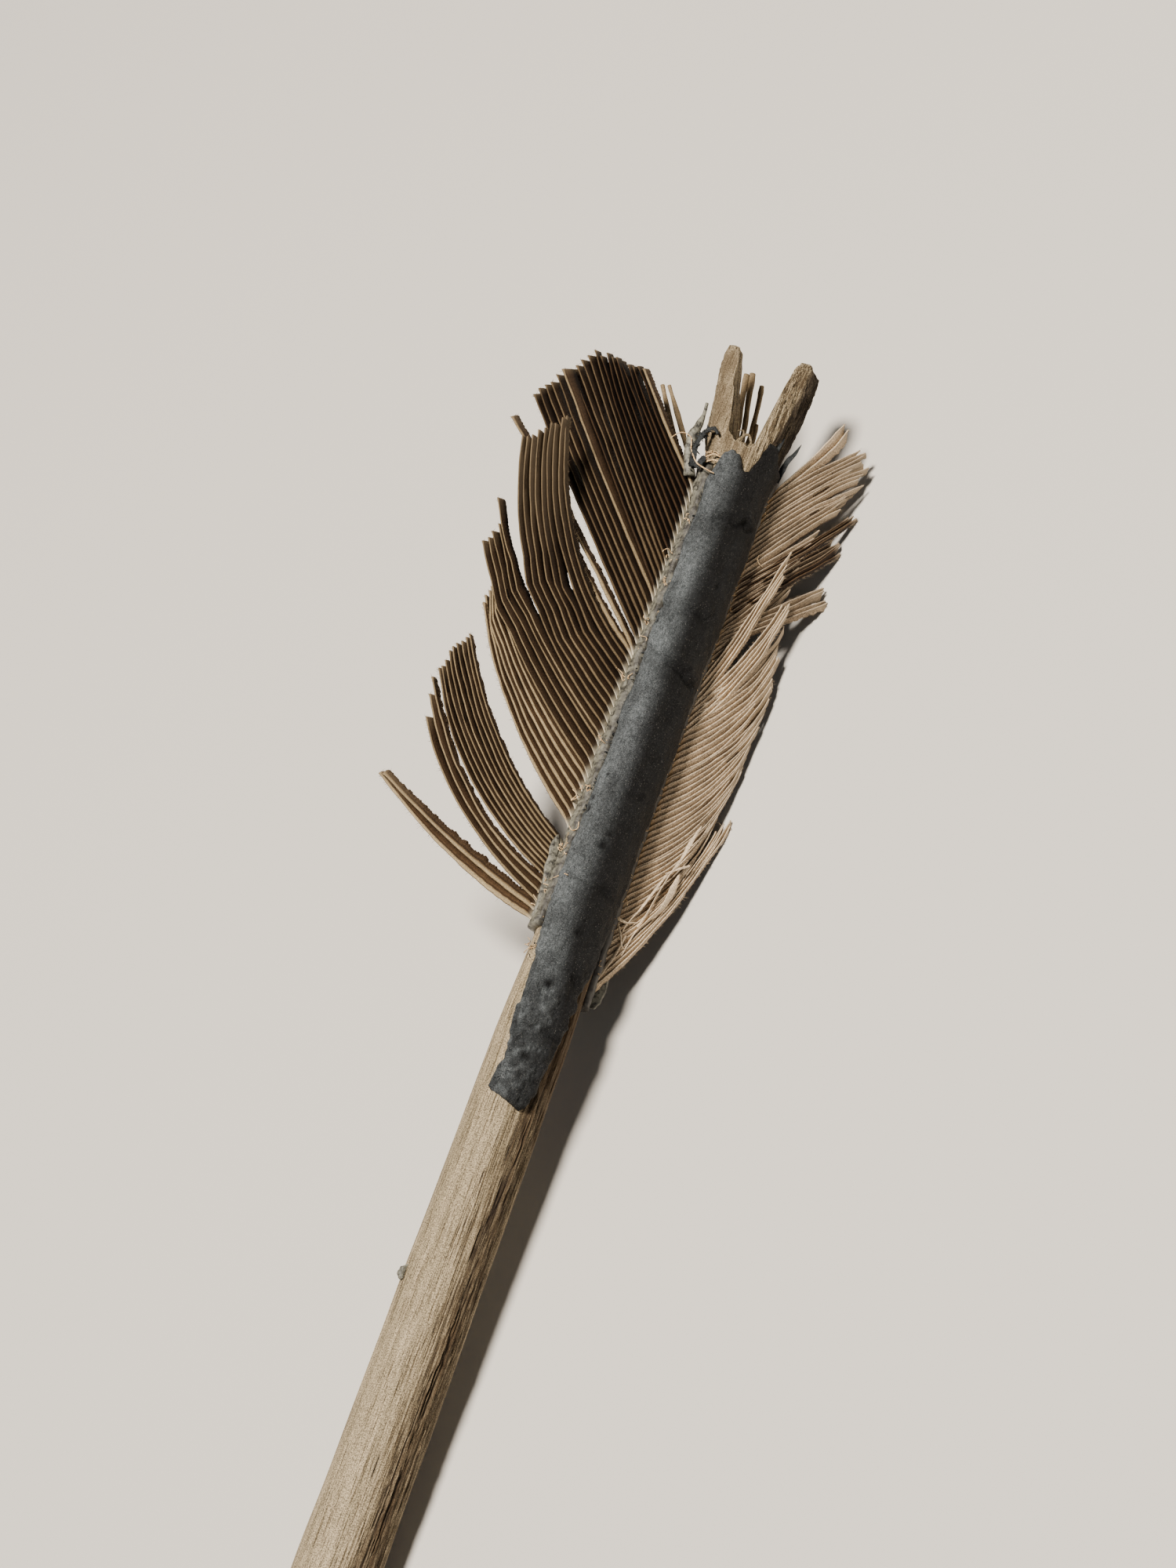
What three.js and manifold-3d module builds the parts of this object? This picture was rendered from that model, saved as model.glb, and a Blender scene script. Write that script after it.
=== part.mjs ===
// The fletched nock end of an old wooden arrow, lying on its feathers.
// Millimetres. The shaft runs along +Y from a plain cut to the two prongs of the nock, and +Z is up.
// Most pieces are worked out in the arrow's own terms first:
//   along: distance from the cut end,
//   turn:  degrees round the shaft, from 0 where the wide band of pitch faces, towards the right feather,
//   reach: distance from the shaft's middle line.
import * as THREE from 'three';
import { mergeVertices } from 'three/addons/utils/BufferGeometryUtils.js';
import Module from 'manifold-3d';

const wasm = await Module();
wasm.setup();

// ---- driving dimensions: mm and degrees ----
const ARROW_ROLL = 37; // the pitched face looks this far from straight up, towards +X
const ARROW_TILT = 3.3; // the nock end is lifted this far by the feathers under it
const FIT_GAP = 0.3; // glue line between the wood and what is stuck on it

// The wood, from the cut end to the tips of the nock: where, how far its middle is shifted sideways,
// half its width and half its depth. It is round up to the nock and an oval there.
const WOOD = [
  { at: 0, shift: 0, wide: 3.6, deep: 3.6 },
  { at: 30, shift: 0, wide: 3.45, deep: 3.45 },
  { at: 60, shift: 0, wide: 3.25, deep: 3.25 },
  { at: 68, shift: 0, wide: 2.95, deep: 2.95 },
  { at: 78, shift: 0, wide: 2.65, deep: 2.65 },
  { at: 95, shift: 0, wide: 2.6, deep: 2.6 },
  { at: 113, shift: 0, wide: 2.6, deep: 2.6 },
  { at: 116.5, shift: -0.15, wide: 2.8, deep: 2.6 },
  { at: 118.5, shift: -0.5, wide: 3.4, deep: 2.6 },
  { at: 120.5, shift: -0.85, wide: 3.95, deep: 2.55 },
  { at: 124.5, shift: -0.67, wide: 4.25, deep: 2.2 },
  { at: 128, shift: -0.5, wide: 4.35, deep: 1.75 },
  { at: 129.6, shift: -0.5, wide: 4.1, deep: 1.25 },
  { at: 130.3, shift: -0.5, wide: 3.75, deep: 0.75 },
];
const WOOD_SIDES = 24;
const NOCK = { floor: 119.8, floorLeft: -1.0, floorRight: 0.5, rim: 132, rimLeft: -4.1, rimRight: 2.3 };

const PITCH_THICKNESS = 0.42;
const PITCH_EDGE = 0.7; // share of the thickness that is left at a band's edges
const PITCH_LUMPS = [
  { height: 0.07, perAlong: 0.62, perTurn: 0.05 },
  { height: 0.05, perAlong: 1.7, perTurn: -0.09 },
];
const PITCH_BANDS = [
  {
    name: 'pitch_face', columns: 12, rows: 22,
    left: [[54, -38], [62, -38], [70, -54], [116, -54]],
    right: [[52.5, 24], [60, 56], [66, 62], [116, 76]],
    foot: [[-38, 54], [24, 52.5]],
    head: [[-54, 115.6], [-30, 118.4], [-18, 118.6], [12, 116.6], [36, 120.6], [50, 120], [76, 118.6]],
  },
  {
    name: 'pitch_right', columns: 3, rows: 10,
    left: [[63, 129], [116, 129]],
    right: [[63, 161], [116, 161]],
    foot: [[129, 64.5], [161, 63]],
    head: [[129, 116.5], [161, 115]],
  },
  {
    name: 'pitch_left', columns: 3, rows: 10,
    left: [[65, 215], [116, 215]],
    right: [[65, 253], [116, 253]],
    foot: [[215, 65], [253, 67.5]],
    head: [[215, 115], [253, 116]],
  },
];

const QUILL = { width: 2.3, thickness: 0.55, columns: 3, rows: 10 };
const LOCK = { thickness: 0.42, steps: 7, shingle: 0.14, tipSlit: 0.22, rootLap: 0.12, shorter: 0.04 };

// Each fan of a vane lies between its first and its last barb and is split into a number of locks.
// A barb is a curve of four points, each [along, reach], and lift is how far its tip stands out of
// the flat vane.
const fan = (locks, lift, first, last) => ({ locks, lift, first, last });
const FEATHERS = [
  {
    name: 'feather_left', turn: -80, quill: [69.5, 117], color: 0x7d6245,
    fans: [
      fan(1, 0, [[70.2, 3.2], [70.6, 8], [73, 14.5], [76.8, 20.7]],
        [[71.6, 3.2], [73.4, 9], [75.6, 15], [77.4, 20.2]]),
      fan(2, 0.5, [[71.6, 3.2], [73.6, 9], [77.4, 15.4], [83.6, 19]],
        [[73.4, 3.2], [74.8, 9.4], [79.4, 15.6], [87, 19.6]]),
      fan(3, 0.8, [[73.9, 3.2], [76, 9.4], [80.4, 16], [88.2, 19.6]],
        [[77.6, 3.2], [80, 8.4], [84.8, 14], [92.6, 18.2]]),
      fan(2, 0.5, [[79.4, 3.2], [83.5, 9.2], [89.2, 14.8], [95.8, 18]],
        [[84, 3.2], [88.4, 9.9], [93, 15], [98.4, 17.4]]),
      fan(2, 1.5, [[84.6, 3.2], [89.4, 10.4], [95, 16.6], [100.4, 20]],
        [[87.6, 3.2], [92.6, 10.8], [98, 16.8], [103, 19.4]]),
      fan(1, 2, [[88.2, 3.2], [93.2, 11], [98.8, 17], [105, 20.4]],
        [[88.9, 3.2], [93.9, 11], [99.3, 16.7], [105, 19.7]]),
      fan(4, 4, [[89.2, 3.2], [94, 11.3], [100, 17.8], [110.5, 20.4]],
        [[96, 3.2], [99.8, 10], [106.6, 15.2], [114.2, 17.3]]),
      fan(1, -0.5, [[96.8, 3.2], [99.4, 8], [102.8, 9.8], [107.6, 16]],
        [[97.4, 3.2], [100, 7.7], [103.4, 9.5], [108.2, 15.7]]),
      fan(1, -2, [[96.9, 3.2], [103, 9.2], [109, 15.6], [114.4, 21.2]],
        [[97.8, 3.2], [104, 9.2], [110, 15.2], [115, 20.7]]),
      fan(4, -1, [[98, 3.2], [104.2, 9.2], [110.7, 15.2], [117.3, 20.6]],
        [[105.6, 3.2], [111, 8], [117, 12.8], [123, 16.9]]),
      fan(4, -1, [[106.2, 3.2], [111.8, 7.9], [117.5, 12.6], [123.6, 16.4]],
        [[114.3, 3.4], [117.2, 6.4], [120.5, 9.1], [124, 11.8]]),
    ],
  },
  {
    name: 'feather_right', turn: 103, quill: [64.5, 119], color: 0xa5917a,
    fans: [
      fan(2, 0.6, [[65.8, 3], [71, 5.6], [79, 8.4], [87.9, 10.9]],
        [[70.5, 3], [75.5, 6], [80.5, 7.8], [86, 9.4]]),
      fan(3, 1, [[71, 3], [76, 6.2], [81, 8], [86.5, 9]],
        [[78, 3], [82, 6.1], [86.5, 8.4], [91.5, 9.8]]),
      fan(3, 1, [[78.2, 3], [82.2, 6.1], [86.8, 8.4], [92, 9.8]],
        [[87, 3], [91.5, 6], [96, 8.4], [100, 10.2]]),
      fan(3, 1, [[87.3, 3], [91.8, 6], [96.4, 8.3], [100.6, 10.1]],
        [[95, 3], [99, 5.8], [103, 7.9], [107, 9]]),
      fan(1, -0.8, [[95, 3], [99.5, 6.2], [104, 7.3], [112.4, 7.2]],
        [[98, 3], [102.2, 5.4], [105.8, 6.7], [113, 8]]),
      fan(4, 0.8, [[98.5, 3], [101.8, 5], [105, 6.8], [109, 8.2]],
        [[107.5, 3], [110.7, 5], [113.5, 7], [117, 9.4]]),
      fan(2, 0.8, [[108.3, 3], [112, 5.3], [116, 7.8], [120.4, 10.9]],
        [[113, 3], [117, 5.4], [121, 8], [125.2, 11.9]]),
      fan(2, 0.6, [[113.4, 3.1], [117.4, 5.5], [121.3, 8], [125.6, 11.7]],
        [[116.6, 3.3], [120.2, 5.6], [123.3, 8], [126.4, 10.6]]),
      fan(1, 0.3, [[116.8, 3.4], [120.3, 5.6], [124, 7.5], [127.6, 8.7]],
        [[117.8, 3.6], [121, 5.5], [124.5, 6.8], [128, 8]]),
      fan(1, 1.2, [[101, 3], [105.2, 7.4], [108, 10], [110.8, 12.8]],
        [[102.4, 3], [106.4, 7], [109.6, 9.4], [112.4, 12]]),
      fan(1, 2, [[104, 3], [108.4, 6.8], [113, 10.2], [118.6, 12.8]],
        [[106, 3], [110.2, 6.3], [115, 9.4], [120.2, 11.6]]),
      fan(1, 2, [[106.4, 3], [110.6, 6.4], [116.2, 10.6], [121.6, 13.4]],
        [[107.4, 3], [111.6, 6.1], [117.2, 10], [122.4, 12.6]]),
    ],
  },
  {
    name: 'feather_back', turn: 188, quill: [64, 117], color: 0x8d7458,
    fans: [
      fan(5, 0.6, [[66, 3], [70, 7.2], [76, 10.8], [83, 12.8]],
        [[78, 3], [83, 7.8], [89, 11.4], [96, 13.6]]),
      fan(7, 0.8, [[78.6, 3], [83.6, 7.8], [89.6, 11.4], [96.6, 13.6]],
        [[97.6, 3], [102.8, 7.6], [109, 11.2], [116, 13.2]]),
      fan(5, 1, [[98.4, 3], [103.6, 7.5], [109.8, 11], [116.6, 12.8]],
        [[110.6, 3], [115.2, 6.6], [120, 9.4], [125.6, 11.2]]),
      fan(1, 7.6, [[111.2, 3], [115.4, 6.2], [120, 8], [126.2, 9.6]],
        [[112.6, 3], [116.6, 5.8], [121, 7.6], [127.4, 8.8]]),
      fan(2, 1.6, [[113.2, 3], [117.4, 5.8], [123, 7.4], [129, 8.2]],
        [[115, 3], [118.8, 5.4], [124, 6.8], [130, 7.4]]),
    ],
  },
];

// ---- helpers ----
const radians = THREE.MathUtils.degToRad;
const degrees = THREE.MathUtils.radToDeg;
const mix = THREE.MathUtils.lerp;
const WELD = 1e-4; // corners nearer to each other than this are one corner
const HUGE = 300; // larger than the arrow in every direction

// Reads a list of [position, value] pairs as a broken line.
function follow(pairs, position) {
  for (let i = 1; i < pairs.length; i += 1) {
    const [from, fromValue] = pairs[i - 1];
    const [to, toValue] = pairs[i];
    if (position <= to || i === pairs.length - 1) {
      const share = THREE.MathUtils.clamp((position - from) / (to - from), 0, 1);
      return mix(fromValue, toValue, share);
    }
  }
  return pairs[0][1];
}

// The wood's section at a place along the shaft.
function woodAt(along) {
  const read = (key) => follow(WOOD.map((station) => [station.at, station[key]]), along);
  return { shift: read('shift'), wide: read('wide'), deep: read('deep') };
}

// How far the wood reaches from the middle line in one direction round the shaft.
function woodReach(along, turn) {
  const { shift, wide, deep } = woodAt(along);
  const across = Math.sin(radians(turn)) / wide;
  const out = Math.cos(radians(turn)) / deep;
  const offset = shift / wide;
  const square = across * across + out * out;
  const half = across * offset;
  return (half + Math.sqrt(half * half + square * (1 - offset * offset))) / square;
}

// A point of the arrow, turned so that the shaft lies along Y with the pitched face at its roll.
// lift moves it square to the reach, in the direction in which turn grows.
function arrowPoint(along, turn, reach, lift = 0) {
  const clock = radians(turn + ARROW_ROLL);
  return new THREE.Vector3(
    reach * Math.sin(clock) + lift * Math.cos(clock),
    along,
    reach * Math.cos(clock) - lift * Math.sin(clock),
  );
}

// Moves every corner of a geometry to where place(x, y, z) says.
function reshape(geometry, place) {
  const corners = geometry.attributes.position;
  for (let i = 0; i < corners.count; i += 1) {
    const { x, y, z } = place(corners.getX(i), corners.getY(i), corners.getZ(i));
    corners.setXYZ(i, x, y, z);
  }
  return geometry;
}

// The same closed surface with shared corners, as a solid for joining and cutting.
function solid(geometry) {
  const bare = geometry.index ? geometry.clone() : geometry;
  bare.deleteAttribute('normal');
  bare.deleteAttribute('uv');
  const merged = mergeVertices(bare, WELD);
  return new wasm.Manifold(new wasm.Mesh({
    numProp: 3,
    vertProperties: Float32Array.from(merged.attributes.position.array),
    triVerts: Uint32Array.from(merged.index.array),
  }));
}

function geometryOf(body) {
  const mesh = body.getMesh();
  const geometry = new THREE.BufferGeometry();
  geometry.setAttribute('position', new THREE.BufferAttribute(mesh.vertProperties, 3));
  geometry.setIndex(new THREE.BufferAttribute(mesh.triVerts, 1));
  geometry.computeVertexNormals();
  return geometry;
}

function part(name, body, material) {
  const mesh = new THREE.Mesh(geometryOf(body), material);
  mesh.name = name;
  return mesh;
}

// ---- the arrow lies tilted: the lowest edge of its cut end and its feathers touch the ground ----
const arrow = new THREE.Group();
arrow.rotation.x = radians(ARROW_TILT);
arrow.position.z = WOOD[0].deep * Math.cos(radians(ARROW_TILT));
arrow.updateMatrixWorld(true);

// Everything under the ground, in the arrow's own frame.
function groundBlock() {
  const block = new THREE.BoxGeometry(HUGE, HUGE, HUGE);
  block.translate(0, 0, -HUGE / 2);
  return solid(block.applyMatrix4(arrow.matrixWorld.clone().invert()));
}

// ---- shaft and nock: one piece of wood ----
function woodBody() {
  const rings = WOOD.length - 1;
  const rod = new THREE.CylinderGeometry(1, 1, rings, WOOD_SIDES, rings);
  reshape(rod, (x, y, z) => {
    const station = WOOD[Math.round(y + rings / 2)];
    const width = station.shift + station.wide * x;
    const depth = station.deep * z;
    return arrowPoint(station.at, degrees(Math.atan2(width, depth)), Math.hypot(width, depth));
  });
  return solid(rod);
}

// The slot is drawn looking at the pitched face, and cut right through the wood.
function nockSlot() {
  const outline = new THREE.Shape([
    new THREE.Vector2(NOCK.floorLeft, NOCK.floor),
    new THREE.Vector2(NOCK.floorRight, NOCK.floor),
    new THREE.Vector2(NOCK.rimRight, NOCK.rim),
    new THREE.Vector2(NOCK.rimLeft, NOCK.rim),
  ]);
  const slot = new THREE.ExtrudeGeometry(outline, { depth: HUGE, bevelEnabled: false });
  slot.translate(0, 0, -HUGE / 2);
  slot.rotateY(radians(ARROW_ROLL));
  return solid(slot);
}

function shaft() {
  const wood = new THREE.MeshStandardMaterial({ color: 0xb8a288, roughness: 0.85, metalness: 0 });
  return part('shaft', woodBody().subtract(nockSlot()), wood);
}

// ---- pitch: bands stuck on the wood, lumpy on the outside and thin at their edges ----
function pitchLumps(along, turn) {
  const wave = (lump) => lump.height * Math.sin(along * lump.perAlong + turn * lump.perTurn);
  return PITCH_LUMPS.reduce((sum, lump) => sum + wave(lump), 0);
}

function pitchBand(band) {
  const box = new THREE.BoxGeometry(1, 1, 1, band.columns, band.rows, 1);
  reshape(box, (x, y, z) => {
    const share = y + 0.5;
    const middle = mix(band.left[0][0], band.left[band.left.length - 1][0], share);
    const turn = mix(follow(band.left, middle), follow(band.right, middle), x + 0.5);
    const along = mix(follow(band.foot, turn), follow(band.head, turn), share);
    const edge = Math.max(Math.abs(x), Math.abs(y)) === 0.5 ? PITCH_EDGE : 1;
    const inside = woodReach(along, turn) + FIT_GAP;
    const reach = z < 0 ? inside : inside + edge * (PITCH_THICKNESS + pitchLumps(along, turn));
    return arrowPoint(along, turn, reach);
  });
  const pitch = new THREE.MeshStandardMaterial({ color: 0x4a4a4a, roughness: 0.75, metalness: 0 });
  return part(band.name, solid(box), pitch);
}

// ---- feathers: a strip of split quill with its vane in locks ----
function quillStrip(feather) {
  const box = new THREE.BoxGeometry(1, 1, 1, QUILL.columns, QUILL.rows, 1);
  reshape(box, (x, y, z) => {
    const along = mix(feather.quill[0], feather.quill[1], y + 0.5);
    const inner = woodReach(along, feather.turn) + FIT_GAP;
    const turn = feather.turn + degrees((x * QUILL.width) / inner);
    const inside = woodReach(along, turn) + FIT_GAP;
    return arrowPoint(along, turn, z < 0 ? inside : inside + QUILL.thickness);
  });
  return solid(box);
}

// A barb's place in its fan: share 0 is the fan's first barb, 1 its last.
function barb(fan, share) {
  const points = fan.first.map(([along, reach], i) => new THREE.Vector2(
    mix(along, fan.last[i][0], share),
    mix(reach, fan.last[i][1], share),
  ));
  return new THREE.CubicBezierCurve(...points);
}

// One lock: a flat blade between two barbs. Locks lap at their roots and part at their tips.
function lock(feather, fan, index) {
  const blade = new THREE.BoxGeometry(1, 1, 1, 1, LOCK.steps, 1);
  const side = index % 2 ? 1 : -1;
  const shortened = 1 - (LOCK.shorter * ((index * 3) % 4)) / 3;
  const edges = [-0.5, 0.5].map((x) => (t) => {
    const lap = x * mix(1 + LOCK.rootLap, 1 - LOCK.tipSlit, t);
    return barb(fan, (index + 0.5 + lap) / fan.locks).getPoint(t);
  });
  reshape(blade, (x, y, z) => {
    const t = (y + 0.5) * shortened;
    const point = edges[x < 0 ? 0 : 1](t);
    const lift = fan.lift * t * t + side * LOCK.shingle + z * LOCK.thickness;
    return arrowPoint(point.x, feather.turn, point.y, lift);
  });
  return solid(blade);
}

function feather(plan, ground) {
  let body = quillStrip(plan);
  for (const fan of plan.fans) {
    for (let index = 0; index < fan.locks; index += 1) {
      body = body.add(lock(plan, fan, index));
    }
  }
  const vane = new THREE.MeshStandardMaterial({ color: plan.color, roughness: 0.8, metalness: 0 });
  return part(plan.name, body.subtract(ground), vane);
}

// ---- assembly ----
arrow.add(shaft());
for (const band of PITCH_BANDS) {
  arrow.add(pitchBand(band));
}
const ground = groundBlock();
for (const plan of FEATHERS) {
  arrow.add(feather(plan, ground));
}

// The origin is under the middle of the whole piece, on the ground it lies on.
const object = new THREE.Group();
object.add(arrow);
object.updateMatrixWorld(true);
const box = new THREE.Box3().setFromObject(object, true);
object.position.set(-(box.min.x + box.max.x) / 2, -(box.min.y + box.max.y) / 2, -box.min.z);

export default object;
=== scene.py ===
# %% [markdown]
# # The nock end of an old arrow
#
# The end of a wooden arrow that the archer holds: a slim shaft with a forked nock for the string,
# three split goose feathers, and dark pitch that holds them on. It lies on two of its feathers and on
# the edge of its cut end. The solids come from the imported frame, which gives every place and size.
# This lesson gives them their looks: grain and cracks in the wood, lumps in the pitch, and every
# single barb of the feathers.

# %% Load the frame
import math
from collections import namedtuple

import bmesh
import bpy
import numpy as np
from mathutils import Matrix, Vector


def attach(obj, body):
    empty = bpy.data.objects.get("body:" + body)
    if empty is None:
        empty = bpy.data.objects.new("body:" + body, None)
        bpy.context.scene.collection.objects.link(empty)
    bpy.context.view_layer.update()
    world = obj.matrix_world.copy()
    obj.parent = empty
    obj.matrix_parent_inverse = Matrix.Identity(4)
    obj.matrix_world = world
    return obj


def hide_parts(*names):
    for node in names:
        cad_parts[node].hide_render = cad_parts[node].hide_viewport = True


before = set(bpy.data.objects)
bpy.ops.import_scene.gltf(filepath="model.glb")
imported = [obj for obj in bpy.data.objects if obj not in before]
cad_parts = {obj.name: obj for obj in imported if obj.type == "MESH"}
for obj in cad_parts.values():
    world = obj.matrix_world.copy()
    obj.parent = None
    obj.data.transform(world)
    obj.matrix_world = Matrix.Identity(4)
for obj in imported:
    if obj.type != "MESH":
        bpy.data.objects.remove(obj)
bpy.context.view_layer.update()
print("solids in the frame:", sorted(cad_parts))

# %% [markdown]
# ## The arrow's own terms
#
# It is easier to think of a place on an arrow as *along* the shaft, a *turn* round it and a *reach*
# out from its middle line, with *lift* square to the reach. The arrow is rolled and tilted as it
# lies, and the middle of its cut end is read from the frame's own shaft.

# %% From the arrow's terms to the frame
MM = 0.001
ROLL = math.radians(37)
TILT = math.radians(3.3)
FORWARD = np.array([0, math.cos(TILT), math.sin(TILT)])
UPWARD = np.array([0, -math.sin(TILT), math.cos(TILT)])

shaft_corners = np.array([v.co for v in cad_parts["shaft"].data.vertices])
distance = shaft_corners @ FORWARD
cut_ring = shaft_corners[distance < distance.min() + 0.1 * MM]
CUT_MIDDLE = (cut_ring.min(0) + cut_ring.max(0)) / 2


def on_arrow(along, turn, reach, lift=0.0):
    """Places in the frame, in metres, from millimetres along, degrees round and millimetres out."""
    along, turn, reach, lift = np.broadcast_arrays(along, turn, reach, lift)
    clock = np.radians(turn) + ROLL
    across = reach * np.sin(clock) + lift * np.cos(clock)
    height = reach * np.cos(clock) - lift * np.sin(clock)
    place = along[..., None] * FORWARD + height[..., None] * UPWARD
    place[..., 0] += across
    return CUT_MIDDLE + place * MM


print("the middle of the cut end:", np.round(CUT_MIDDLE / MM, 2), "mm")

# %% [markdown]
# ## The camera
#
# The camera looks down on the pitched side of the arrow from a forearm's length away, from a little
# below square, and is rolled so that the arrow leans to the right. The picture is taken as
# 1500 by 2000.

# %% A camera square to the pitched side
LOOK_ALONG = 84.0  # mm from the cut end
LOOK_ASIDE = -3.1  # mm to the left of the shaft
DISTANCE = 0.36
FROM_BELOW = math.radians(22)
CAMERA_ROLL = math.radians(20.36)
PICTURE_HEIGHT = 2000
LENS_IN_PIXELS = 5220
SENSOR = 36

toward = on_arrow(0, 0, 1) - on_arrow(0, 0, 0)
toward /= np.linalg.norm(toward)
rightward = np.cross(FORWARD, toward)
back = math.cos(FROM_BELOW) * toward - math.sin(FROM_BELOW) * FORWARD
upright = math.sin(FROM_BELOW) * toward + math.cos(FROM_BELOW) * FORWARD
side = math.cos(CAMERA_ROLL) * rightward + math.sin(CAMERA_ROLL) * upright
top = math.cos(CAMERA_ROLL) * upright - math.sin(CAMERA_ROLL) * rightward
target = on_arrow(LOOK_ALONG, -90, -LOOK_ASIDE)

camera_data = bpy.data.cameras.new("camera")
camera_data.sensor_fit = "VERTICAL"
camera_data.sensor_height = SENSOR
camera_data.lens = LENS_IN_PIXELS / PICTURE_HEIGHT * SENSOR
camera_data.clip_start = 0.01
camera = bpy.data.objects.new("camera", camera_data)
axes = Matrix((side, top, back)).transposed().to_4x4()
camera.matrix_world = Matrix.Translation(target + DISTANCE * back) @ axes
bpy.context.scene.collection.objects.link(camera)
bpy.context.scene.camera = camera
print("the camera stands at", np.round(target + DISTANCE * back, 3))

# %% [markdown]
# ## Colours and nodes
#
# Colours are written as the hex values that a picture shows, and one function turns them to the
# linear values that Blender works in. One more adds any node, with its settings and its links. A Mix
# node that works on colours keeps them in its seventh and eighth input and its third output, so
# those places get names.


# %% Two helpers for materials
def linear(hex_colour):
    """The linear RGBA of a colour written as #rrggbb."""
    parts = [int(hex_colour[i : i + 2], 16) / 255 for i in (1, 3, 5)]
    bent = [c / 12.92 if c <= 0.04045 else ((c + 0.055) / 1.055) ** 2.4 for c in parts]
    return (*bent, 1.0)


def add(tree, kind, links=None, **settings):
    """Adds a node. links gives its inputs, each a value or another node's output."""
    node = tree.nodes.new("ShaderNode" + kind)
    for name, value in settings.items():
        setattr(node, name, value)
    for name, value in (links or {}).items():
        if isinstance(value, bpy.types.NodeSocket):
            tree.links.new(value, node.inputs[name])
        else:
            node.inputs[name].default_value = value
    return node


COLOURS = {"data_type": "RGBA"}
MULTIPLIED = {"data_type": "RGBA", "blend_type": "MULTIPLY"}
A, B, MIXED = 6, 7, 2


def new_material(name):
    """An empty material, with its shader and the place along the arrow that its patterns read."""
    material = bpy.data.materials.new(name)
    material.use_nodes = True
    tree = material.node_tree
    shader = tree.nodes["Principled BSDF"]
    coordinates = add(tree, "TexCoord")
    turned = {"Vector": coordinates.outputs["Object"], "Rotation": (-TILT, 0, 0)}
    straight = add(tree, "Mapping", turned)
    return material, tree, shader, straight.outputs["Vector"]


# %% [markdown]
# ## The floor and the light
#
# A plain pale floor and soft light, as in a small studio. The key light is a panel to the upper left
# of the camera, small and low enough to bring out the grain and the ridges of the feathers. The floor
# is matt paper: a roughness of 0.9, no shine.

# %% Floor, key and fill
FLOOR_SIZE = 3.0
floor_mesh = bmesh.new()
bmesh.ops.create_grid(floor_mesh, x_segments=1, y_segments=1, size=FLOOR_SIZE / 2)
floor_data = bpy.data.meshes.new("floor")
floor_mesh.to_mesh(floor_data)
floor_mesh.free()
floor = bpy.data.objects.new("floor", floor_data)
bpy.context.scene.collection.objects.link(floor)
paper, tree, shader, place = new_material("matt_paper")
shader.inputs["Base Color"].default_value = linear("#c9c5be")
shader.inputs["Roughness"].default_value = 0.9
floor_data.materials.append(paper)


def panel(name, aside, above, before, size, power, colour):
    """A soft light that faces the arrow, placed in metres along the camera's own axes."""
    light = bpy.data.lights.new(name, "AREA")
    light.shape = "DISK"
    light.size = size
    light.energy = power
    light.color = linear(colour)[:3]
    spot = bpy.data.objects.new(name, light)
    away = Vector(aside * side + above * top + before * back)
    turned = away.to_track_quat("Z", "Y").to_matrix().to_4x4()
    spot.matrix_world = Matrix.Translation(Vector(target) + away) @ turned
    bpy.context.scene.collection.objects.link(spot)


panel("key", aside=-0.27, above=0.34, before=0.53, size=0.15, power=13.0, colour="#fff6ea")
panel("fill", aside=0.5, above=0.0, before=0.6, size=0.6, power=0.8, colour="#f3efe9")
world = bpy.data.worlds.new("studio")
world.use_nodes = True
sky = world.node_tree.nodes["Background"]
sky.inputs["Color"].default_value = linear("#d5d9df")
sky.inputs["Strength"].default_value = 0.09
bpy.context.scene.world = world
print("a floor, two panels and a soft sky")

# %% [markdown]
# ## Small tools for meshes
#
# Three tools do most of the work. `noise` gives smooth lumps of a known size, the same on every run.
# `slab` makes a flat plate with many small squares on both sides, to be laid on the wood. `tube`
# makes one closed tube, which can be laid out hundreds of times as barbs, hairs and threads.

# %% Noise, slabs and tubes
LATTICE_SIZE = 256
LATTICE = np.random.default_rng(7).random((LATTICE_SIZE, LATTICE_SIZE))


def noise(u, v):
    """Smooth noise between -1 and 1 with one lump to each unit of u and v."""
    u, v = np.broadcast_arrays(u, v)
    i, j = np.floor(u).astype(int), np.floor(v).astype(int)
    fu, fv = u - i, v - j
    fu, fv = fu * fu * (3 - 2 * fu), fv * fv * (3 - 2 * fv)
    i, j = i % LATTICE_SIZE, j % LATTICE_SIZE
    right, up = (i + 1) % LATTICE_SIZE, (j + 1) % LATTICE_SIZE
    near = LATTICE[i, j] * (1 - fu) + LATTICE[right, j] * fu
    far = LATTICE[i, up] * (1 - fu) + LATTICE[right, up] * fu
    return 2 * (near * (1 - fv) + far * fv) - 1


def smooth(value, low, high):
    """Rises from 0 at low to 1 at high, level at both ends."""
    share = np.clip((value - low) / (high - low), 0, 1)
    return share * share * (3 - 2 * share)


def follow(pairs, position):
    """Reads a list of (position, value) pairs as a broken line."""
    return np.interp(position, [p[0] for p in pairs], [p[1] for p in pairs])


def corners_of(mesh):
    places = np.empty(len(mesh.vertices) * 3, np.float32)
    mesh.vertices.foreach_get("co", places)
    return places.reshape(-1, 3)


def set_corners(mesh, places):
    mesh.vertices.foreach_set("co", np.asarray(places, np.float32).ravel())
    mesh.update()


def paint(mesh, name, values):
    """Stores one number at each corner, for the material to read."""
    layer = mesh.attributes.new(name, "FLOAT", "POINT")
    layer.data.foreach_set("value", np.asarray(values, np.float32).ravel())


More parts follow.
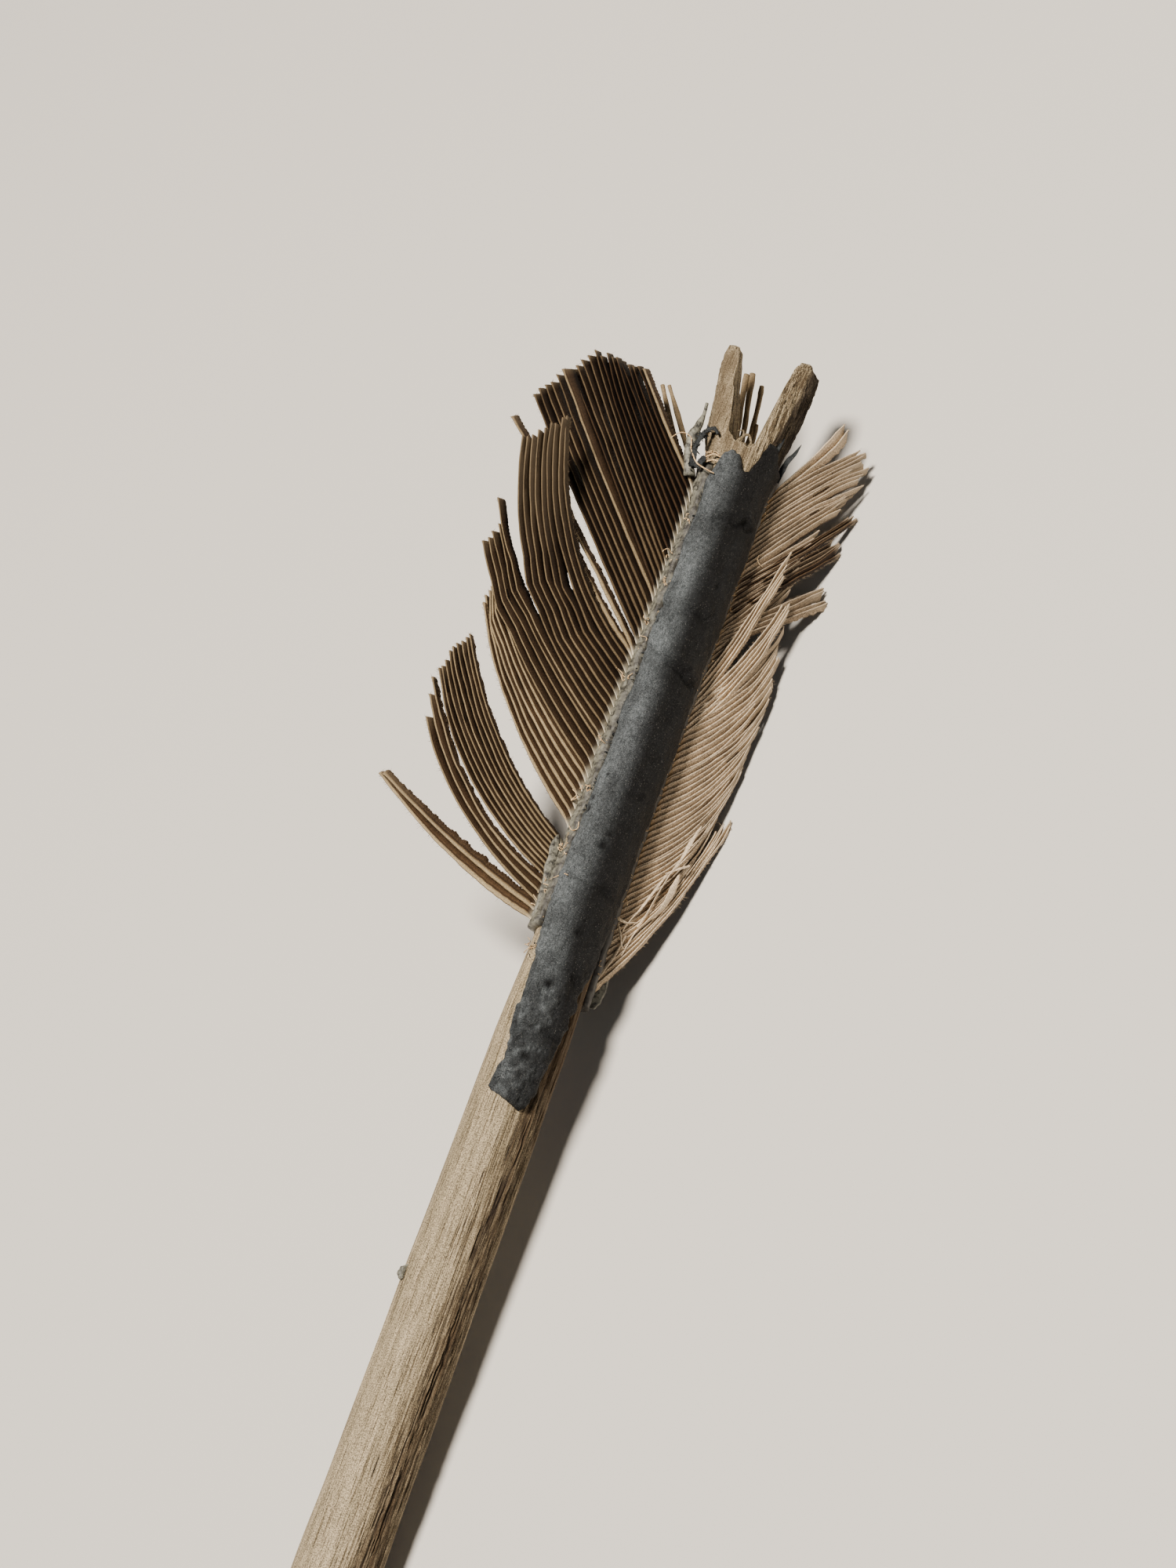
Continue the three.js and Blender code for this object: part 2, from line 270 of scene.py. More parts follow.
def face_out(mesh):
    """Turns the faces of a closed mesh outwards if they point inwards."""
    bm = bmesh.new()
    bm.from_mesh(mesh)
    if bm.calc_volume(signed=True) < 0:
        bmesh.ops.reverse_faces(bm, faces=bm.faces)
        bm.to_mesh(mesh)
    bm.free()


def slab(name, columns, rows):
    """A plate with its corners at x and y from 0 to 1, and z at 0 below and 1 above."""
    bm = bmesh.new()
    bmesh.ops.create_grid(bm, x_segments=columns, y_segments=rows, size=0.5)
    bmesh.ops.translate(bm, verts=bm.verts, vec=(0.5, 0.5, 0))
    grown = bmesh.ops.extrude_face_region(bm, geom=bm.faces[:], use_keep_orig=True)
    upper = [v for v in grown["geom"] if isinstance(v, bmesh.types.BMVert)]
    bmesh.ops.translate(bm, verts=upper, vec=(0, 0, 1))
    bmesh.ops.recalc_face_normals(bm, faces=bm.faces)
    mesh = bpy.data.meshes.new(name)
    bm.to_mesh(mesh)
    bm.free()
    return mesh


def tube(sides, rows):
    """One closed tube: for each corner its row and its side, and the faces between the corners."""
    bm = bmesh.new()
    bmesh.ops.create_circle(bm, segments=sides, radius=1, cap_ends=False)
    ring = bm.verts[:] + bm.edges[:]
    up = (0, 0, 1)
    bmesh.ops.spin(bm, geom=ring, cent=(0, 0, 0), axis=up, dvec=up, angle=0, steps=rows)
    bmesh.ops.holes_fill(bm, edges=bm.edges, sides=0)
    bmesh.ops.recalc_face_normals(bm, faces=bm.faces)
    bm.verts.index_update()
    row = np.array([round(v.co.z) for v in bm.verts])
    step = np.array([round(math.atan2(v.co.y, v.co.x) / math.tau * sides) % sides for v in bm.verts])
    faces = [[v.index for v in f.verts] for f in bm.faces]
    bm.free()
    return row, step, faces


def laid_tubes(name, places, painted=None):
    """Closed tubes in one mesh. places holds, for each tube, row and side, a corner in metres."""
    count, rows, sides, _ = places.shape
    row, step, faces = tube(sides, rows - 1)
    corners = places[:, row, step].reshape(-1, 3)
    every = [[i + k * len(row) for i in face] for k in range(count) for face in faces]
    mesh = bpy.data.meshes.new(name)
    mesh.from_pydata(corners, [], every)
    for key, values in (painted or {}).items():
        paint(mesh, key, values[:, row, step])
    face_out(mesh)
    return mesh


def piece(name, mesh, material, slot, *nodes):
    """Puts a finished mesh in the scene: it rides on the arrow and may stand for nodes of the frame."""
    mesh.materials.clear()
    mesh.materials.append(material)
    mesh.shade_smooth()
    made = bpy.data.objects.new(name, mesh)
    bpy.context.scene.collection.objects.link(made)
    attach(made, "root")
    if nodes:
        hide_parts(*nodes)
    print(f"{name}: {sum(len(f.vertices) - 2 for f in mesh.polygons)} triangles")


# %% [markdown]
# ## Bare, weathered wood
#
# The shaft was split and shaved from straight-grained wood and left bare. Age has greyed it, and fine
# dark lines follow the grain. Old bare wood has an IOR near 1.5 and a roughness of 0.8 to 0.9, so it
# looks dry and gives almost no shine. The material stretches one noise along the shaft for the grain
# and adds a grit that roughens it. Cracks are real grooves in the mesh, and an attribute paints shade
# into them, into the hollows of the worn band and onto the sides of the nock that face away from the light.

# %% The wood's material
wood, tree, shader, place = new_material("bare_weathered_wood")
GRAIN_WIDTH = 0.11 * MM  # real fibres are 0.03 mm wide, too fine to show
GRAIN_STRETCH = 0.02  # a dark line is about 5 mm long
GRIT = 0.11 * MM  # as coarse as it needs to be to show
stretched = add(tree, "Mapping", {"Vector": place, "Scale": (1, GRAIN_STRETCH, 1)}).outputs["Vector"]
finely = {"Vector": stretched, "Scale": 1 / GRAIN_WIDTH, "Detail": 3.0, "Roughness": 0.6}
grain = add(tree, "TexNoise", finely).outputs["Fac"]
broadly = {"Vector": stretched, "Scale": 0.16 / GRAIN_WIDTH, "Detail": 3.0}
broad = add(tree, "TexNoise", broadly).outputs["Fac"]
grit = add(tree, "TexNoise", {"Vector": place, "Scale": 1 / GRIT, "Detail": 2.0}).outputs["Fac"]
worn = add(tree, "Attribute", attribute_name="worn").outputs["Fac"]
thinnest = add(tree, "MapRange", {"Value": worn, "To Min": 0.27, "To Max": 0.43}).outputs[0]
thickest = add(tree, "MapRange", {"Value": worn, "To Min": 0.44, "To Max": 0.61}).outputs[0]
lines = add(tree, "MapRange", {"Value": grain, "From Min": thinnest, "From Max": thickest}).outputs[0]
greyer = add(tree, "MapRange", {"Value": broad, "From Min": 0.35, "From Max": 0.7}).outputs[0]
pale = add(tree, "Mix", {"Factor": greyer, A: linear("#b4a385"), B: linear("#94866b")}, **COLOURS)
coloured = add(tree, "Mix", {"Factor": lines, A: linear("#4c3f2b"), B: pale.outputs[MIXED]}, **COLOURS)
gritty = {"Value": grit, "From Min": 0.34, "From Max": 0.66, "To Min": 0.36, "To Max": 1.34}
dusty = add(tree, "MapRange", gritty).outputs[0]
coloured = add(tree, "Mix", {"Factor": 1.0, A: coloured.outputs[MIXED], B: dusty}, **MULTIPLIED)
# The second layer is painted shade: it darkens the cracks and hollows, and the walls and flank of the nock
# that face away from the light.
for layer, colour in (("stain_and_shade", "#463624"), ("painted_shade", "#1c120a")):
    cover = add(tree, "Attribute", attribute_name=layer).outputs["Fac"]
    coloured = add(tree, "Mix", {"Factor": cover, A: coloured.outputs[MIXED], B: linear(colour)}, **COLOURS)
# The first layer above holds real stains together with painted shade on the right side of the shaft.
tree.links.new(coloured.outputs[MIXED], shader.inputs["Base Color"])
ridged = add(tree, "Bump", {"Height": grain, "Strength": 0.9, "Distance": 0.2 * MM}).outputs[0]
rough = add(tree, "Bump", {"Height": grit, "Normal": ridged, "Strength": 0.8, "Distance": 0.12 * MM})
tree.links.new(rough.outputs[0], shader.inputs["Normal"])
shader.inputs["Roughness"].default_value = 0.85
shader.inputs["Specular IOR Level"].default_value = 0.25
print("wood grain", GRAIN_WIDTH / MM, "mm wide")

# %% [markdown]
# ## The shaft
#
# The shaft is round up to the pitch, thinner under it, and widens to a flat oval at the nock. A grid
# is rolled into a tube whose first and last rows close the ends. The grooves of the grain and the
# long drying cracks are pressed into the grid, so they show at the outline too.

# %% The wood's sections, and how far it reaches
WOOD = [  # along, how far its middle is shifted, half its width, half its depth
    (0, 0, 3.6, 3.6),
    (30, 0, 3.45, 3.45),
    (60, 0, 3.25, 3.25),
    (68, 0, 2.95, 2.95),
    (78, 0, 2.65, 2.65),
    (95, 0, 2.6, 2.6),
    (113, 0, 2.6, 2.6),
    (116.5, -0.15, 2.8, 2.6),
    (118.5, -0.3, 3.2, 2.6),
    (120.5, -0.4, 3.6, 2.55),
    (124.5, -0.35, 4.1, 2.3),
    (128, -0.5, 4.4, 1.85),
    (129.6, -0.5, 4.4, 1.5),
    (130.3, -0.5, 4.3, 1.2),
]


def wood_section(along):
    """The wood's shift, half width and half depth at a place along the shaft."""
    stations = [w[0] for w in WOOD]
    return [np.interp(along, stations, [w[i] for w in WOOD]) for i in (1, 2, 3)]


def wood_reach(along, turn):
    """How far the wood reaches from the middle line in one direction round the shaft."""
    shift, wide, deep = wood_section(along)
    across = np.sin(np.radians(turn)) / wide
    out = np.cos(np.radians(turn)) / deep
    offset = shift / wide
    square = across * across + out * out
    half = across * offset
    return (half + np.sqrt(half * half + square * (1 - offset * offset))) / square


# %% Drying cracks and grain
CRACKS = [  # each a line of (along, turn), then its half width and its depth in mm
    ([(38, 2), (44, 0), (52, 3)], 0.05, 0.10),
    ([(28, 8), (36, 11), (43, 9)], 0.06, 0.12),
    ([(10, -6), (17, -3), (27, 3)], 0.06, 0.12),
    ([(36, 22), (42, 26), (50, 31)], 0.05, 0.12),
    ([(12, 24), (22, 29), (32, 33)], 0.06, 0.14),
    ([(44, 60), (52, 66), (63, 70)], 0.09, 0.2),
    ([(0, 140), (22, 133), (47, 141)], 0.14, 0.28),
    ([(8, -128), (30, -136), (58, -131)], 0.12, 0.24),
    ([(20, 176), (40, 186), (62, 181)], 0.12, 0.24),
]
SHAFT_RADIUS = 3.5
GROOVE = 0.022
WORN_GROOVE = 0.13
STAINED_TURN = 48


def crack_depth(along, turn):
    """How deep the drying cracks are, and how much painted shade darkens them, from 0 to 1."""
    deep = np.zeros(np.shape(along))
    dark = np.zeros(np.shape(along))
    for line, half_width, depth in CRACKS:
        begin, lane = line[0]
        end = line[-1][0]
        wander = 1.4 * noise(along * 0.45, lane) + 0.5 * noise(along * 1.7, lane + 9.5)
        aside = (turn - follow(line, along) - wander + 180) % 360 - 180
        off = np.radians(aside) * SHAFT_RADIUS / half_width
        ends = smooth(along, begin - 1.5, begin + 4) * (1 - smooth(along, end - 4, end + 1.5))
        broken = smooth(noise(along * 0.55, lane + 3.3), -0.35, 0.25)
        shape = np.exp(-off * off) * ends * broken
        deep = np.maximum(deep, depth * shape)
        dark = np.maximum(dark, shape)
    return deep, dark


# %% Roll the grid into the shaft
SHAFT_COLUMNS = 200
SIDE_TURN = 60  # the right side of the nock is shaved flat, and faces this way
CAP_ROWS = [(0.02, 0), (0.3, 0), (0.6, 0), (0.82, 0), (0.95, 0.02), (1.0, 0.18)]
TIP_ROWS = [(0.96, 130.36), (0.8, 130.42), (0.55, 130.45), (0.25, 130.46), (0.02, 130.46)]
plain_rows = np.linspace(0.6, 112, 300)
nock_rows = np.linspace(112.3, 130.25, 90)
full_rows = [(1.0, row) for row in (*plain_rows, *nock_rows)]
ring_share, ring_along = np.array([*CAP_ROWS, *full_rows, *TIP_ROWS]).T

bm = bmesh.new()
bmesh.ops.create_grid(bm, x_segments=SHAFT_COLUMNS, y_segments=len(ring_along) - 1, size=0.5)
shaft_mesh = bpy.data.meshes.new("shaft_wood")
bm.to_mesh(shaft_mesh)
bm.free()
flat = corners_of(shaft_mesh)
ring = np.rint((flat[:, 1] + 0.5) * (len(ring_along) - 1)).astype(int)
angle = np.rint((flat[:, 0] + 0.5) * SHAFT_COLUMNS) / SHAFT_COLUMNS * math.tau - math.pi
along = ring_along[ring]
share = ring_share[ring]
shift, wide, deep = wood_section(along)
fuller = 1 + 0.16 * smooth(along, 117, 122) * np.sin(2 * angle) ** 2
width = shift + wide * np.sin(angle) * fuller
depth = deep * np.cos(angle) * fuller
turn = np.degrees(np.arctan2(width, depth))
reach = np.hypot(width, depth)
side_plane = 3.24 + 0.075 * (along - 123.5)
flank = side_plane / np.cos(np.radians(turn - SIDE_TURN).clip(-1.4, 1.4))
reach += smooth(along, 117, 122) * (np.minimum(reach, flank) - reach)
cracks, dark = crack_depth(along, turn)
grooves = noise(turn * 0.55, along * 0.035) + 0.7 * noise(turn * 1.3 + 40, along * 0.06)
worn_middle = 39 + 9 * noise(along * 0.07, 2.0) + 4 * noise(along * 0.4, 9.0)
worn = (1 - smooth(along, 108, 114)) * np.exp(-(((turn - worn_middle) / 25) ** 2))
worn *= 0.75 + 0.35 * noise(turn * 0.12, along * 0.25)
fibrous = 0.6 * noise(turn * 0.24, along * 0.10) + noise(turn * 0.5 + 9, along * 0.22)
fibrous += 0.7 * noise(turn * 0.5, along * 1.4)
bumps = 0.05 * noise(turn * 0.05, along * 0.16) + GROOVE * grooves + WORN_GROOVE * worn * fibrous
nibble = 0.05 * noise(turn * 0.9, along * 1.3) * smooth(np.abs(turn - STAINED_TURN), 40, 10)
rough_nock = 0.12 * noise(turn * 0.45, along * 0.4) + 0.06 * noise(turn * 0.5, along * 2.6)
rough_nock += 0.05 * noise(turn * 0.5 + 30, along * 0.9)
rough_nock *= smooth(along, 116, 121)
body = smooth(share, 0.9, 1.0)
reach = reach * share + body * (bumps + nibble + rough_nock - cracks)
blunt = 0.9 * smooth(-width, -1, 2.5) + 0.8 * smooth(width, 2.6, 3.8)
blunt += 0.5 * smooth(width, 0.5, 1.2) * smooth(width, 2.7, 1.8)
tip_drop = smooth(along, 124, 130.4) * (blunt + 0.3 * noise(width * 0.8, depth * 0.9))
shaft_along = along - tip_drop + 0.05 * (1 - body) * noise(turn * 0.05, share * 9)
set_corners(shaft_mesh, on_arrow(shaft_along, turn, reach))
# Painted shade: the shaved right flank of the nock faces away from the light and is painted dark.
side_edge = np.maximum(45 + 3.0 * (along - 123.5), 36)
shaded_flank = smooth(along, 116, 119) * smooth(turn, side_edge, side_edge + 5) * (1 - smooth(turn, 100, 120))
# Painted shade: the cracks and the hollows between the worn band's fibres are painted dark.
groove_shade = np.clip(-1.1 * fibrous * worn + 0.15 * worn, 0, 0.9)
hollow_shade = np.maximum(np.clip(dark * 1.15, 0, 1), groove_shade)
shaded_flank *= 0.8 + 0.2 * noise(turn * 0.5, along * 0.2)
paint(shaft_mesh, "painted_shade", np.maximum(hollow_shade, shaded_flank) * body)
right_half = 0.75 * smooth(turn, -30, 40) * (1 - smooth(turn, 90, 150))
paint(shaft_mesh, "worn", np.clip(0.25 + right_half, 0, 1))
left_prong = 0.4 * smooth(-turn, -5, 5)
nock_stain = np.clip(0.12 + left_prong + 0.4 * noise(turn * 0.16, along * 0.5), 0, 0.65)
at_nock = smooth(along, 114, 119) * nock_stain
# Darker: the worn band on the right is partly a real stain and partly painted shade on the side away from the
# light, and the wood just below the right side of the pitch is painted darker too.
below_pitch = smooth(along, 44, 58) * smooth(turn, 12, 36) * (1 - smooth(along, 100, 110)) * 0.85
paint(shaft_mesh, "stain_and_shade", np.clip(np.maximum(0.85 * worn, below_pitch) + at_nock, 0, 0.95))

bm = bmesh.new()
bm.from_mesh(shaft_mesh)
bmesh.ops.remove_doubles(bm, verts=bm.verts, dist=0.0005 * MM)
bmesh.ops.holes_fill(bm, edges=bm.edges, sides=0)
bmesh.ops.recalc_face_normals(bm, faces=bm.faces)
bm.to_mesh(shaft_mesh)
bm.free()
face_out(shaft_mesh)
print("the rod before its nock is cut:", len(shaft_mesh.polygons), "faces")

# %% [markdown]
# ## The nock
#
# The slot for the string was cut with a knife and its walls have split along the grain. The cutter is
# a fine block with fibrous walls, and a boolean takes it out of the rod.

# %% Cut the slot
NOCK_FLOOR, FLOOR_LEFT, FLOOR_RIGHT = 119.8, -1.5, 0.5
NOCK_RIM, RIM_LEFT, RIM_RIGHT = 132, -4.2, 1.9
WALL_LEAN = 3.0  # the left wall leans back, so it can be seen from the front
SLOT_CUTS = 60
SLOT_DEPTH = 9.0

bm = bmesh.new()
bmesh.ops.create_cube(bm, size=1)
bmesh.ops.subdivide_edges(bm, edges=bm.edges, cuts=SLOT_CUTS, use_grid_fill=True)
cutter_mesh = bpy.data.meshes.new("slot_cutter")
bm.to_mesh(cutter_mesh)
bm.free()
x, y, z = (corners_of(cutter_mesh) + 0.5).T
fibres = 0.18 * noise(z * 14, y * 1.6) + 0.10 * noise(z * 31 + 7, y * 3.1) + 0.05 * noise(z * 60, y * 14)
floor_line = NOCK_FLOOR + (0.5 * noise(x * 2.2 + 5, z * 9) + 0.35 * noise(x * 5, z * 21)) * (1 - y)
slot_along = floor_line + y * (NOCK_RIM - floor_line)
left_wall = FLOOR_LEFT + y * (RIM_LEFT - FLOOR_LEFT) + fibres
left_wall -= WALL_LEAN * (z - 0.5)
right_wall = FLOOR_RIGHT + y * (RIM_RIGHT - FLOOR_RIGHT) + fibres[::-1]
slot_width = left_wall + x * (right_wall - left_wall)
slot_depth = (z - 0.5) * SLOT_DEPTH
slot_turn = np.degrees(np.arctan2(slot_width, slot_depth))
set_corners(cutter_mesh, on_arrow(slot_along, slot_turn, np.hypot(slot_width, slot_depth)))
left_side = x < 0.5
# Painted shade on the slot: its left wall faces away from the light and is painted darker, and so are the
# hollows between its fibres.
paint(cutter_mesh, "painted_shade", np.clip(0.2 - fibres * 2.0 + 0.6 * left_side, 0, 0.9))
paint(cutter_mesh, "stain_and_shade", np.clip(0.3 + 0.4 * left_side + 0.4 * noise(z * 6, y * 3), 0, 1))
paint(cutter_mesh, "worn", 0.6 + 0 * x)
face_out(cutter_mesh)

rod = bpy.data.objects.new("rod", shaft_mesh)
cutter = bpy.data.objects.new("cutter", cutter_mesh)
for helper in (rod, cutter):
    bpy.context.scene.collection.objects.link(helper)
cut = rod.modifiers.new("nock", "BOOLEAN")
cut.operation = "DIFFERENCE"
cut.solver = "EXACT"
cut.object = cutter
graph = bpy.context.evaluated_depsgraph_get()
nocked_mesh = bpy.data.meshes.new_from_object(rod.evaluated_get(graph))
for helper in (rod, cutter):
    bpy.data.objects.remove(helper)
nocked_mesh.name = "shaft_with_nock"
piece("weathered_shaft", nocked_mesh, wood, "wood", "shaft")
nocked_mesh.set_sharp_from_angle(angle=math.radians(50))

# %% [markdown]
# ## Pitch
#
# Tree pitch was melted on over the quills and bound with thread while it was soft. It set matt and
# blue-grey, with pale dust and small pits. Fresh pitch is glossy, with an IOR of 1.5. Old and
# dusty, it has a roughness of 0.5 to 0.7: dull where it is coated, nearly black where it is bare. A
# film of dust lies on the left half, in an attribute, and the same attribute paints that half paler as
# painted light. Painted shade darkens the pits, the marks of the thread and the pitch just below
# them. The lumps, the marks of the thread and the torn ends are in the mesh.

# %% The pitch's material
pitch, tree, shader, place = new_material("set_tree_pitch")
SPECK = 0.10 * MM  # real dust is finer, too fine to show
STREAK = 0.24 * MM
long = add(tree, "Mapping", {"Vector": place, "Scale": (1, 0.55, 1)}).outputs["Vector"]
streaky = {"Vector": long, "Scale": 1 / STREAK, "Detail": 3.0, "Roughness": 0.6}
streaks = add(tree, "TexNoise", streaky).outputs["Fac"]
fine = {"Vector": place, "Scale": 1 / SPECK, "Detail": 2.0, "Roughness": 0.6}
specks = add(tree, "TexNoise", fine).outputs["Fac"]
patchy = {"Vector": place, "Scale": 0.45 / MM, "Detail": 4.0, "Roughness": 0.6}
patches = add(tree, "TexNoise", patchy).outputs["Fac"]
streaked = add(tree, "MapRange", {"Value": streaks, "From Min": 0.34, "From Max": 0.66}).outputs[0]
# The dark pair of colours is bare pitch, and the pale pair is its coat of dust and painted light.
bare, dusty = [
    add(tree, "Mix", {"Factor": streaked, A: linear(darker), B: linear(lighter)}, **COLOURS).outputs[MIXED]
    for darker, lighter in (("#040404", "#0e0e0f"), ("#484d4f", "#676c6f"))
]
dust_and_light = add(tree, "Attribute", attribute_name="dust_and_light").outputs["Fac"]
coloured = add(tree, "Mix", {"Factor": dust_and_light, A: bare, B: dusty}, **COLOURS)
blotches = {"Value": patches, "From Min": 0.48, "From Max": 0.66, "To Max": 0.4}
blotched = add(tree, "MapRange", blotches).outputs[0]
coloured = add(tree, "Mix", {"Factor": blotched, A: coloured.outputs[MIXED], B: linear("#18191a")}, **COLOURS)
grains = {"Value": specks, "From Min": 0.3, "From Max": 0.64, "To Min": 0.35, "To Max": 1.5}
grainy = add(tree, "MapRange", grains).outputs[0]
coloured = add(tree, "Mix", {"Factor": 1.0, A: coloured.outputs[MIXED], B: grainy}, **MULTIPLIED)
# Pale specks of dust, which also stand in for small glints on the grit: partly painted highlights.
dust_and_glints = {"Value": specks, "From Min": 0.64, "From Max": 0.74, "To Max": 0.55}
specks_and_glints = add(tree, "MapRange", dust_and_glints).outputs[0]
# Painted shade: the pits, the marks of the thread and the pitch just below them are painted nearly black.
pit = add(tree, "Attribute", attribute_name="pit").outputs["Fac"]
for cover, colour in ((specks_and_glints, "#85827b"), (pit, "#060606")):
    coloured = add(tree, "Mix", {"Factor": cover, A: coloured.outputs[MIXED], B: linear(colour)}, **COLOURS)
tree.links.new(coloured.outputs[MIXED], shader.inputs["Base Color"])
uneven = add(tree, "Bump", {"Height": streaks, "Strength": 0.6, "Distance": 0.10 * MM}).outputs[0]
rough = add(tree, "Bump", {"Height": specks, "Normal": uneven, "Strength": 1.0, "Distance": 0.16 * MM})
tree.links.new(rough.outputs[0], shader.inputs["Normal"])
shader.inputs["Roughness"].default_value = 0.55
shader.inputs["Specular IOR Level"].default_value = 0.15

# %% The bands of pitch
PITCH_OUT = 0.66  # mm that it stands above the wood
EDGE_OUT = 0.10
SUNK = 0.12  # mm that its underside reaches into the wood
ROLLED_EDGE = 0.55
PITCH_RADIUS = 3.2
CREASES = [  # marks of the binding thread: (turn, along) at both ends, and how deep
    ((-22, 111.1), (65, 111.9), 0.16),
    ((-61, 102.1), (37, 101.8), 0.14),
    ((-54, 97.3), (60, 95.2), 0.17),
    ((-50, 89.5), (10, 90.2), 0.05),
    ((-50, 84.0), (40, 83.2), 0.05),
    ((-45, 74.2), (50, 73.4), 0.08),
    ((-44, 66.5), (40, 65.2), 0.10),
    ((-36, 60.0), (50, 59.4), 0.12),
]
PITS = [  # (along, turn), radius and depth in mm
    (77.8, 0, 0.42, 0.35),
    (79.0, 4, 0.28, 0.2),
    (81.0, -49, 0.38, 0.3),
    (82.1, -46, 0.28, 0.2),
    (84.5, -35, 0.22, 0.18),
    (69.5, 12, 0.5, 0.22),
    (64.2, -6, 0.55, 0.25),
    (57.2, -3, 0.5, 0.3),
    (116.9, 0, 0.3, 0.22),
    (100.2, -50, 0.35, 0.22),
    (105.0, 30, 0.25, 0.15),
]
Band = namedtuple("Band", "name node columns rows left right foot head")
BANDS = [
    Band(
        "pitch_over_quills", "pitch_face", 84, 330,
        [(54, -38), (57.4, -31), (60.3, -40), (62.6, -37), (66, -44), (70.7, -58), (80, -58), (97, -57),
         (116, -59)],
        [(52.5, 22), (55.9, 31), (60.2, 40), (65.2, 52), (72, 74), (80, 82), (97, 84), (116, 90)],
        [(-38, 54.1), (-10, 52.9), (17, 52.5), (24, 52.9)],
        [(-59, 114.7), (-46, 116.6), (-34, 118.1), (-22, 118.5), (-10, 118.0), (6, 116.8), (15, 116.9),
         (26, 118.6), (36, 120.8), (48, 120.6), (60, 119.3), (90, 118.6)],
    ),
    Band(
        "pitch_right_behind", "pitch_right", 24, 150,
        [(63, 127), (80, 128), (97, 126), (116, 129)], [(63, 163), (90, 160), (116, 163)],
        [(126, 64.8), (163, 63)], [(126, 116.8), (163, 115)],
    ),
    Band(
        "pitch_left_behind", "pitch_left", 28, 150,
        [(65, 213), (90, 216), (116, 213)], [(65, 255), (90, 252), (116, 255)],
        [(213, 66.5), (255, 71.5)], [(213, 115), (255, 116)],
    ),
]  # fmt: skip


def pitch_surface(along, turn):
    """How high the pitch's lumps, thread marks and pits stand, and how much painted shade darkens the pits,
    the thread marks and the pitch just below them.
    """
    tail = 1 - smooth(along, 58, 74)
    height = 0.14 * noise(along * 0.45, turn * 0.035) + 0.07 * noise(along * 1.6, turn * 0.10)
    folds = np.abs(noise(along * 1.5, turn * 0.1))
    height += tail * (0.34 * noise(along * 0.75 + 3, turn * 0.06) - 0.3 * folds)
    height += tail * 0.12 * noise(along * 3.2, turn * 0.26)
    height += 0.02 * noise(along * 1.3, turn * 0.55) + 0.015 * noise(along * 4.5, turn * 0.5)
    dark = np.zeros(np.shape(along))
    for (turn_0, along_0), (turn_1, along_1), depth in CREASES:
        line = np.interp(turn, [turn_0, turn_1], [along_0, along_1]) + 0.25 * noise(turn * 0.08, along_0)
        inside = 1.15 * smooth(turn, turn_0 - 4, turn_0 + 8) * (1 - smooth(turn, turn_1 - 8, turn_1 + 4))
        off = along - line
        swollen = 1.5 * np.exp(-(((off - 0.9) / 0.7) ** 2))
        height += inside * depth * (swollen - 2.0 * np.exp(-((off / 0.3) ** 2)))
        dark = np.maximum(dark, inside * 2.4 * depth * np.exp(-((off / 0.2) ** 2)))
        dark = np.maximum(dark, inside * 2.0 * depth * np.exp(-(((off + 0.9) / 0.8) ** 2)))
    for at, round_at, radius, depth in PITS:
        far = np.hypot(along - at, np.radians(turn - round_at) * PITCH_RADIUS) / radius
        height -= depth * np.exp(-(far**2))
        height += 0.25 * depth * np.exp(-(((far - 1.6) / 0.5) ** 2))
        dark = np.maximum(dark, np.exp(-((far / 0.8) ** 2)))
    return height, dark


def pitch_band(band):
    """Lays one slab of pitch on the wood, thick inside its outline and rolled thin at its edges."""
    mesh = slab(band.name, band.columns, band.rows)
    x, y, z = corners_of(mesh).astype(float).T
    middle = band.foot[0][1] + y * (band.head[0][1] - band.foot[0][1])
    left, right = follow(band.left, middle), follow(band.right, middle)
    ragged = 2.2 * noise(middle * 0.7, 3.0) + 1.5 * noise(middle * 2.3, 8.0)
    spread = right - left - ragged + 1.8 * noise(middle * 0.9, 20.0)
    turn = left + ragged + x * (spread + 1.2 * noise(middle * 2.6, 31.0))
    foot = follow(band.foot, turn) + 0.25 * noise(turn * 0.12, 5.0)
    head = follow(band.head, turn) + 0.15 * noise(turn * 0.16, 12.0)
    along = foot + y * (head - foot)
    wood_out = wood_reach(along, turn)
    from_side = np.minimum(x, 1 - x) * np.radians(right - left) * wood_out
    inside = np.minimum(from_side, np.minimum(y, 1 - y) * (head - foot))
    edge = np.sqrt(np.clip(1 - (1 - np.clip(inside / ROLLED_EDGE, 0, 1)) ** 2, 0, 1))
    lumps, dark = pitch_surface(along, turn)
    top_reach = wood_out + EDGE_OUT + edge * (PITCH_OUT - EDGE_OUT + lumps)
    reach = np.where(z > 0.5, top_reach, wood_out - SUNK)
    set_corners(mesh, on_arrow(along, turn, reach))
    # Painted shade in the pits, in the marks of the thread and just below them.
    paint(mesh, "pit", np.clip(dark, 0, 1) * (z > 0.5))
    at_tail = 1 - smooth(along, 60, 72)
    bare_spots = at_tail * smooth(noise(along * 1.1, turn * 0.09), 0.35, -0.35)
    # Dust and painted light: the left half, which faces the light, is painted paler, less so at the tail's
    # bare spots and near the nock.
    lit_dust = (1 - smooth(turn - 16 * at_tail, -34, 14)) * (1 - 0.6 * bare_spots)
    lit_dust = lit_dust * (1 - 0.35 * smooth(along, 103, 114)) * (0.85 + 0.3 * noise(along * 0.3, turn * 0.05))
    paint(mesh, "dust_and_light", np.clip(lit_dust * (band.node == "pitch_face"), 0, 1))
    face_out(mesh)
    piece(band.name, mesh, pitch, "pitch", band.node)


for band in BANDS:
    pitch_band(band)

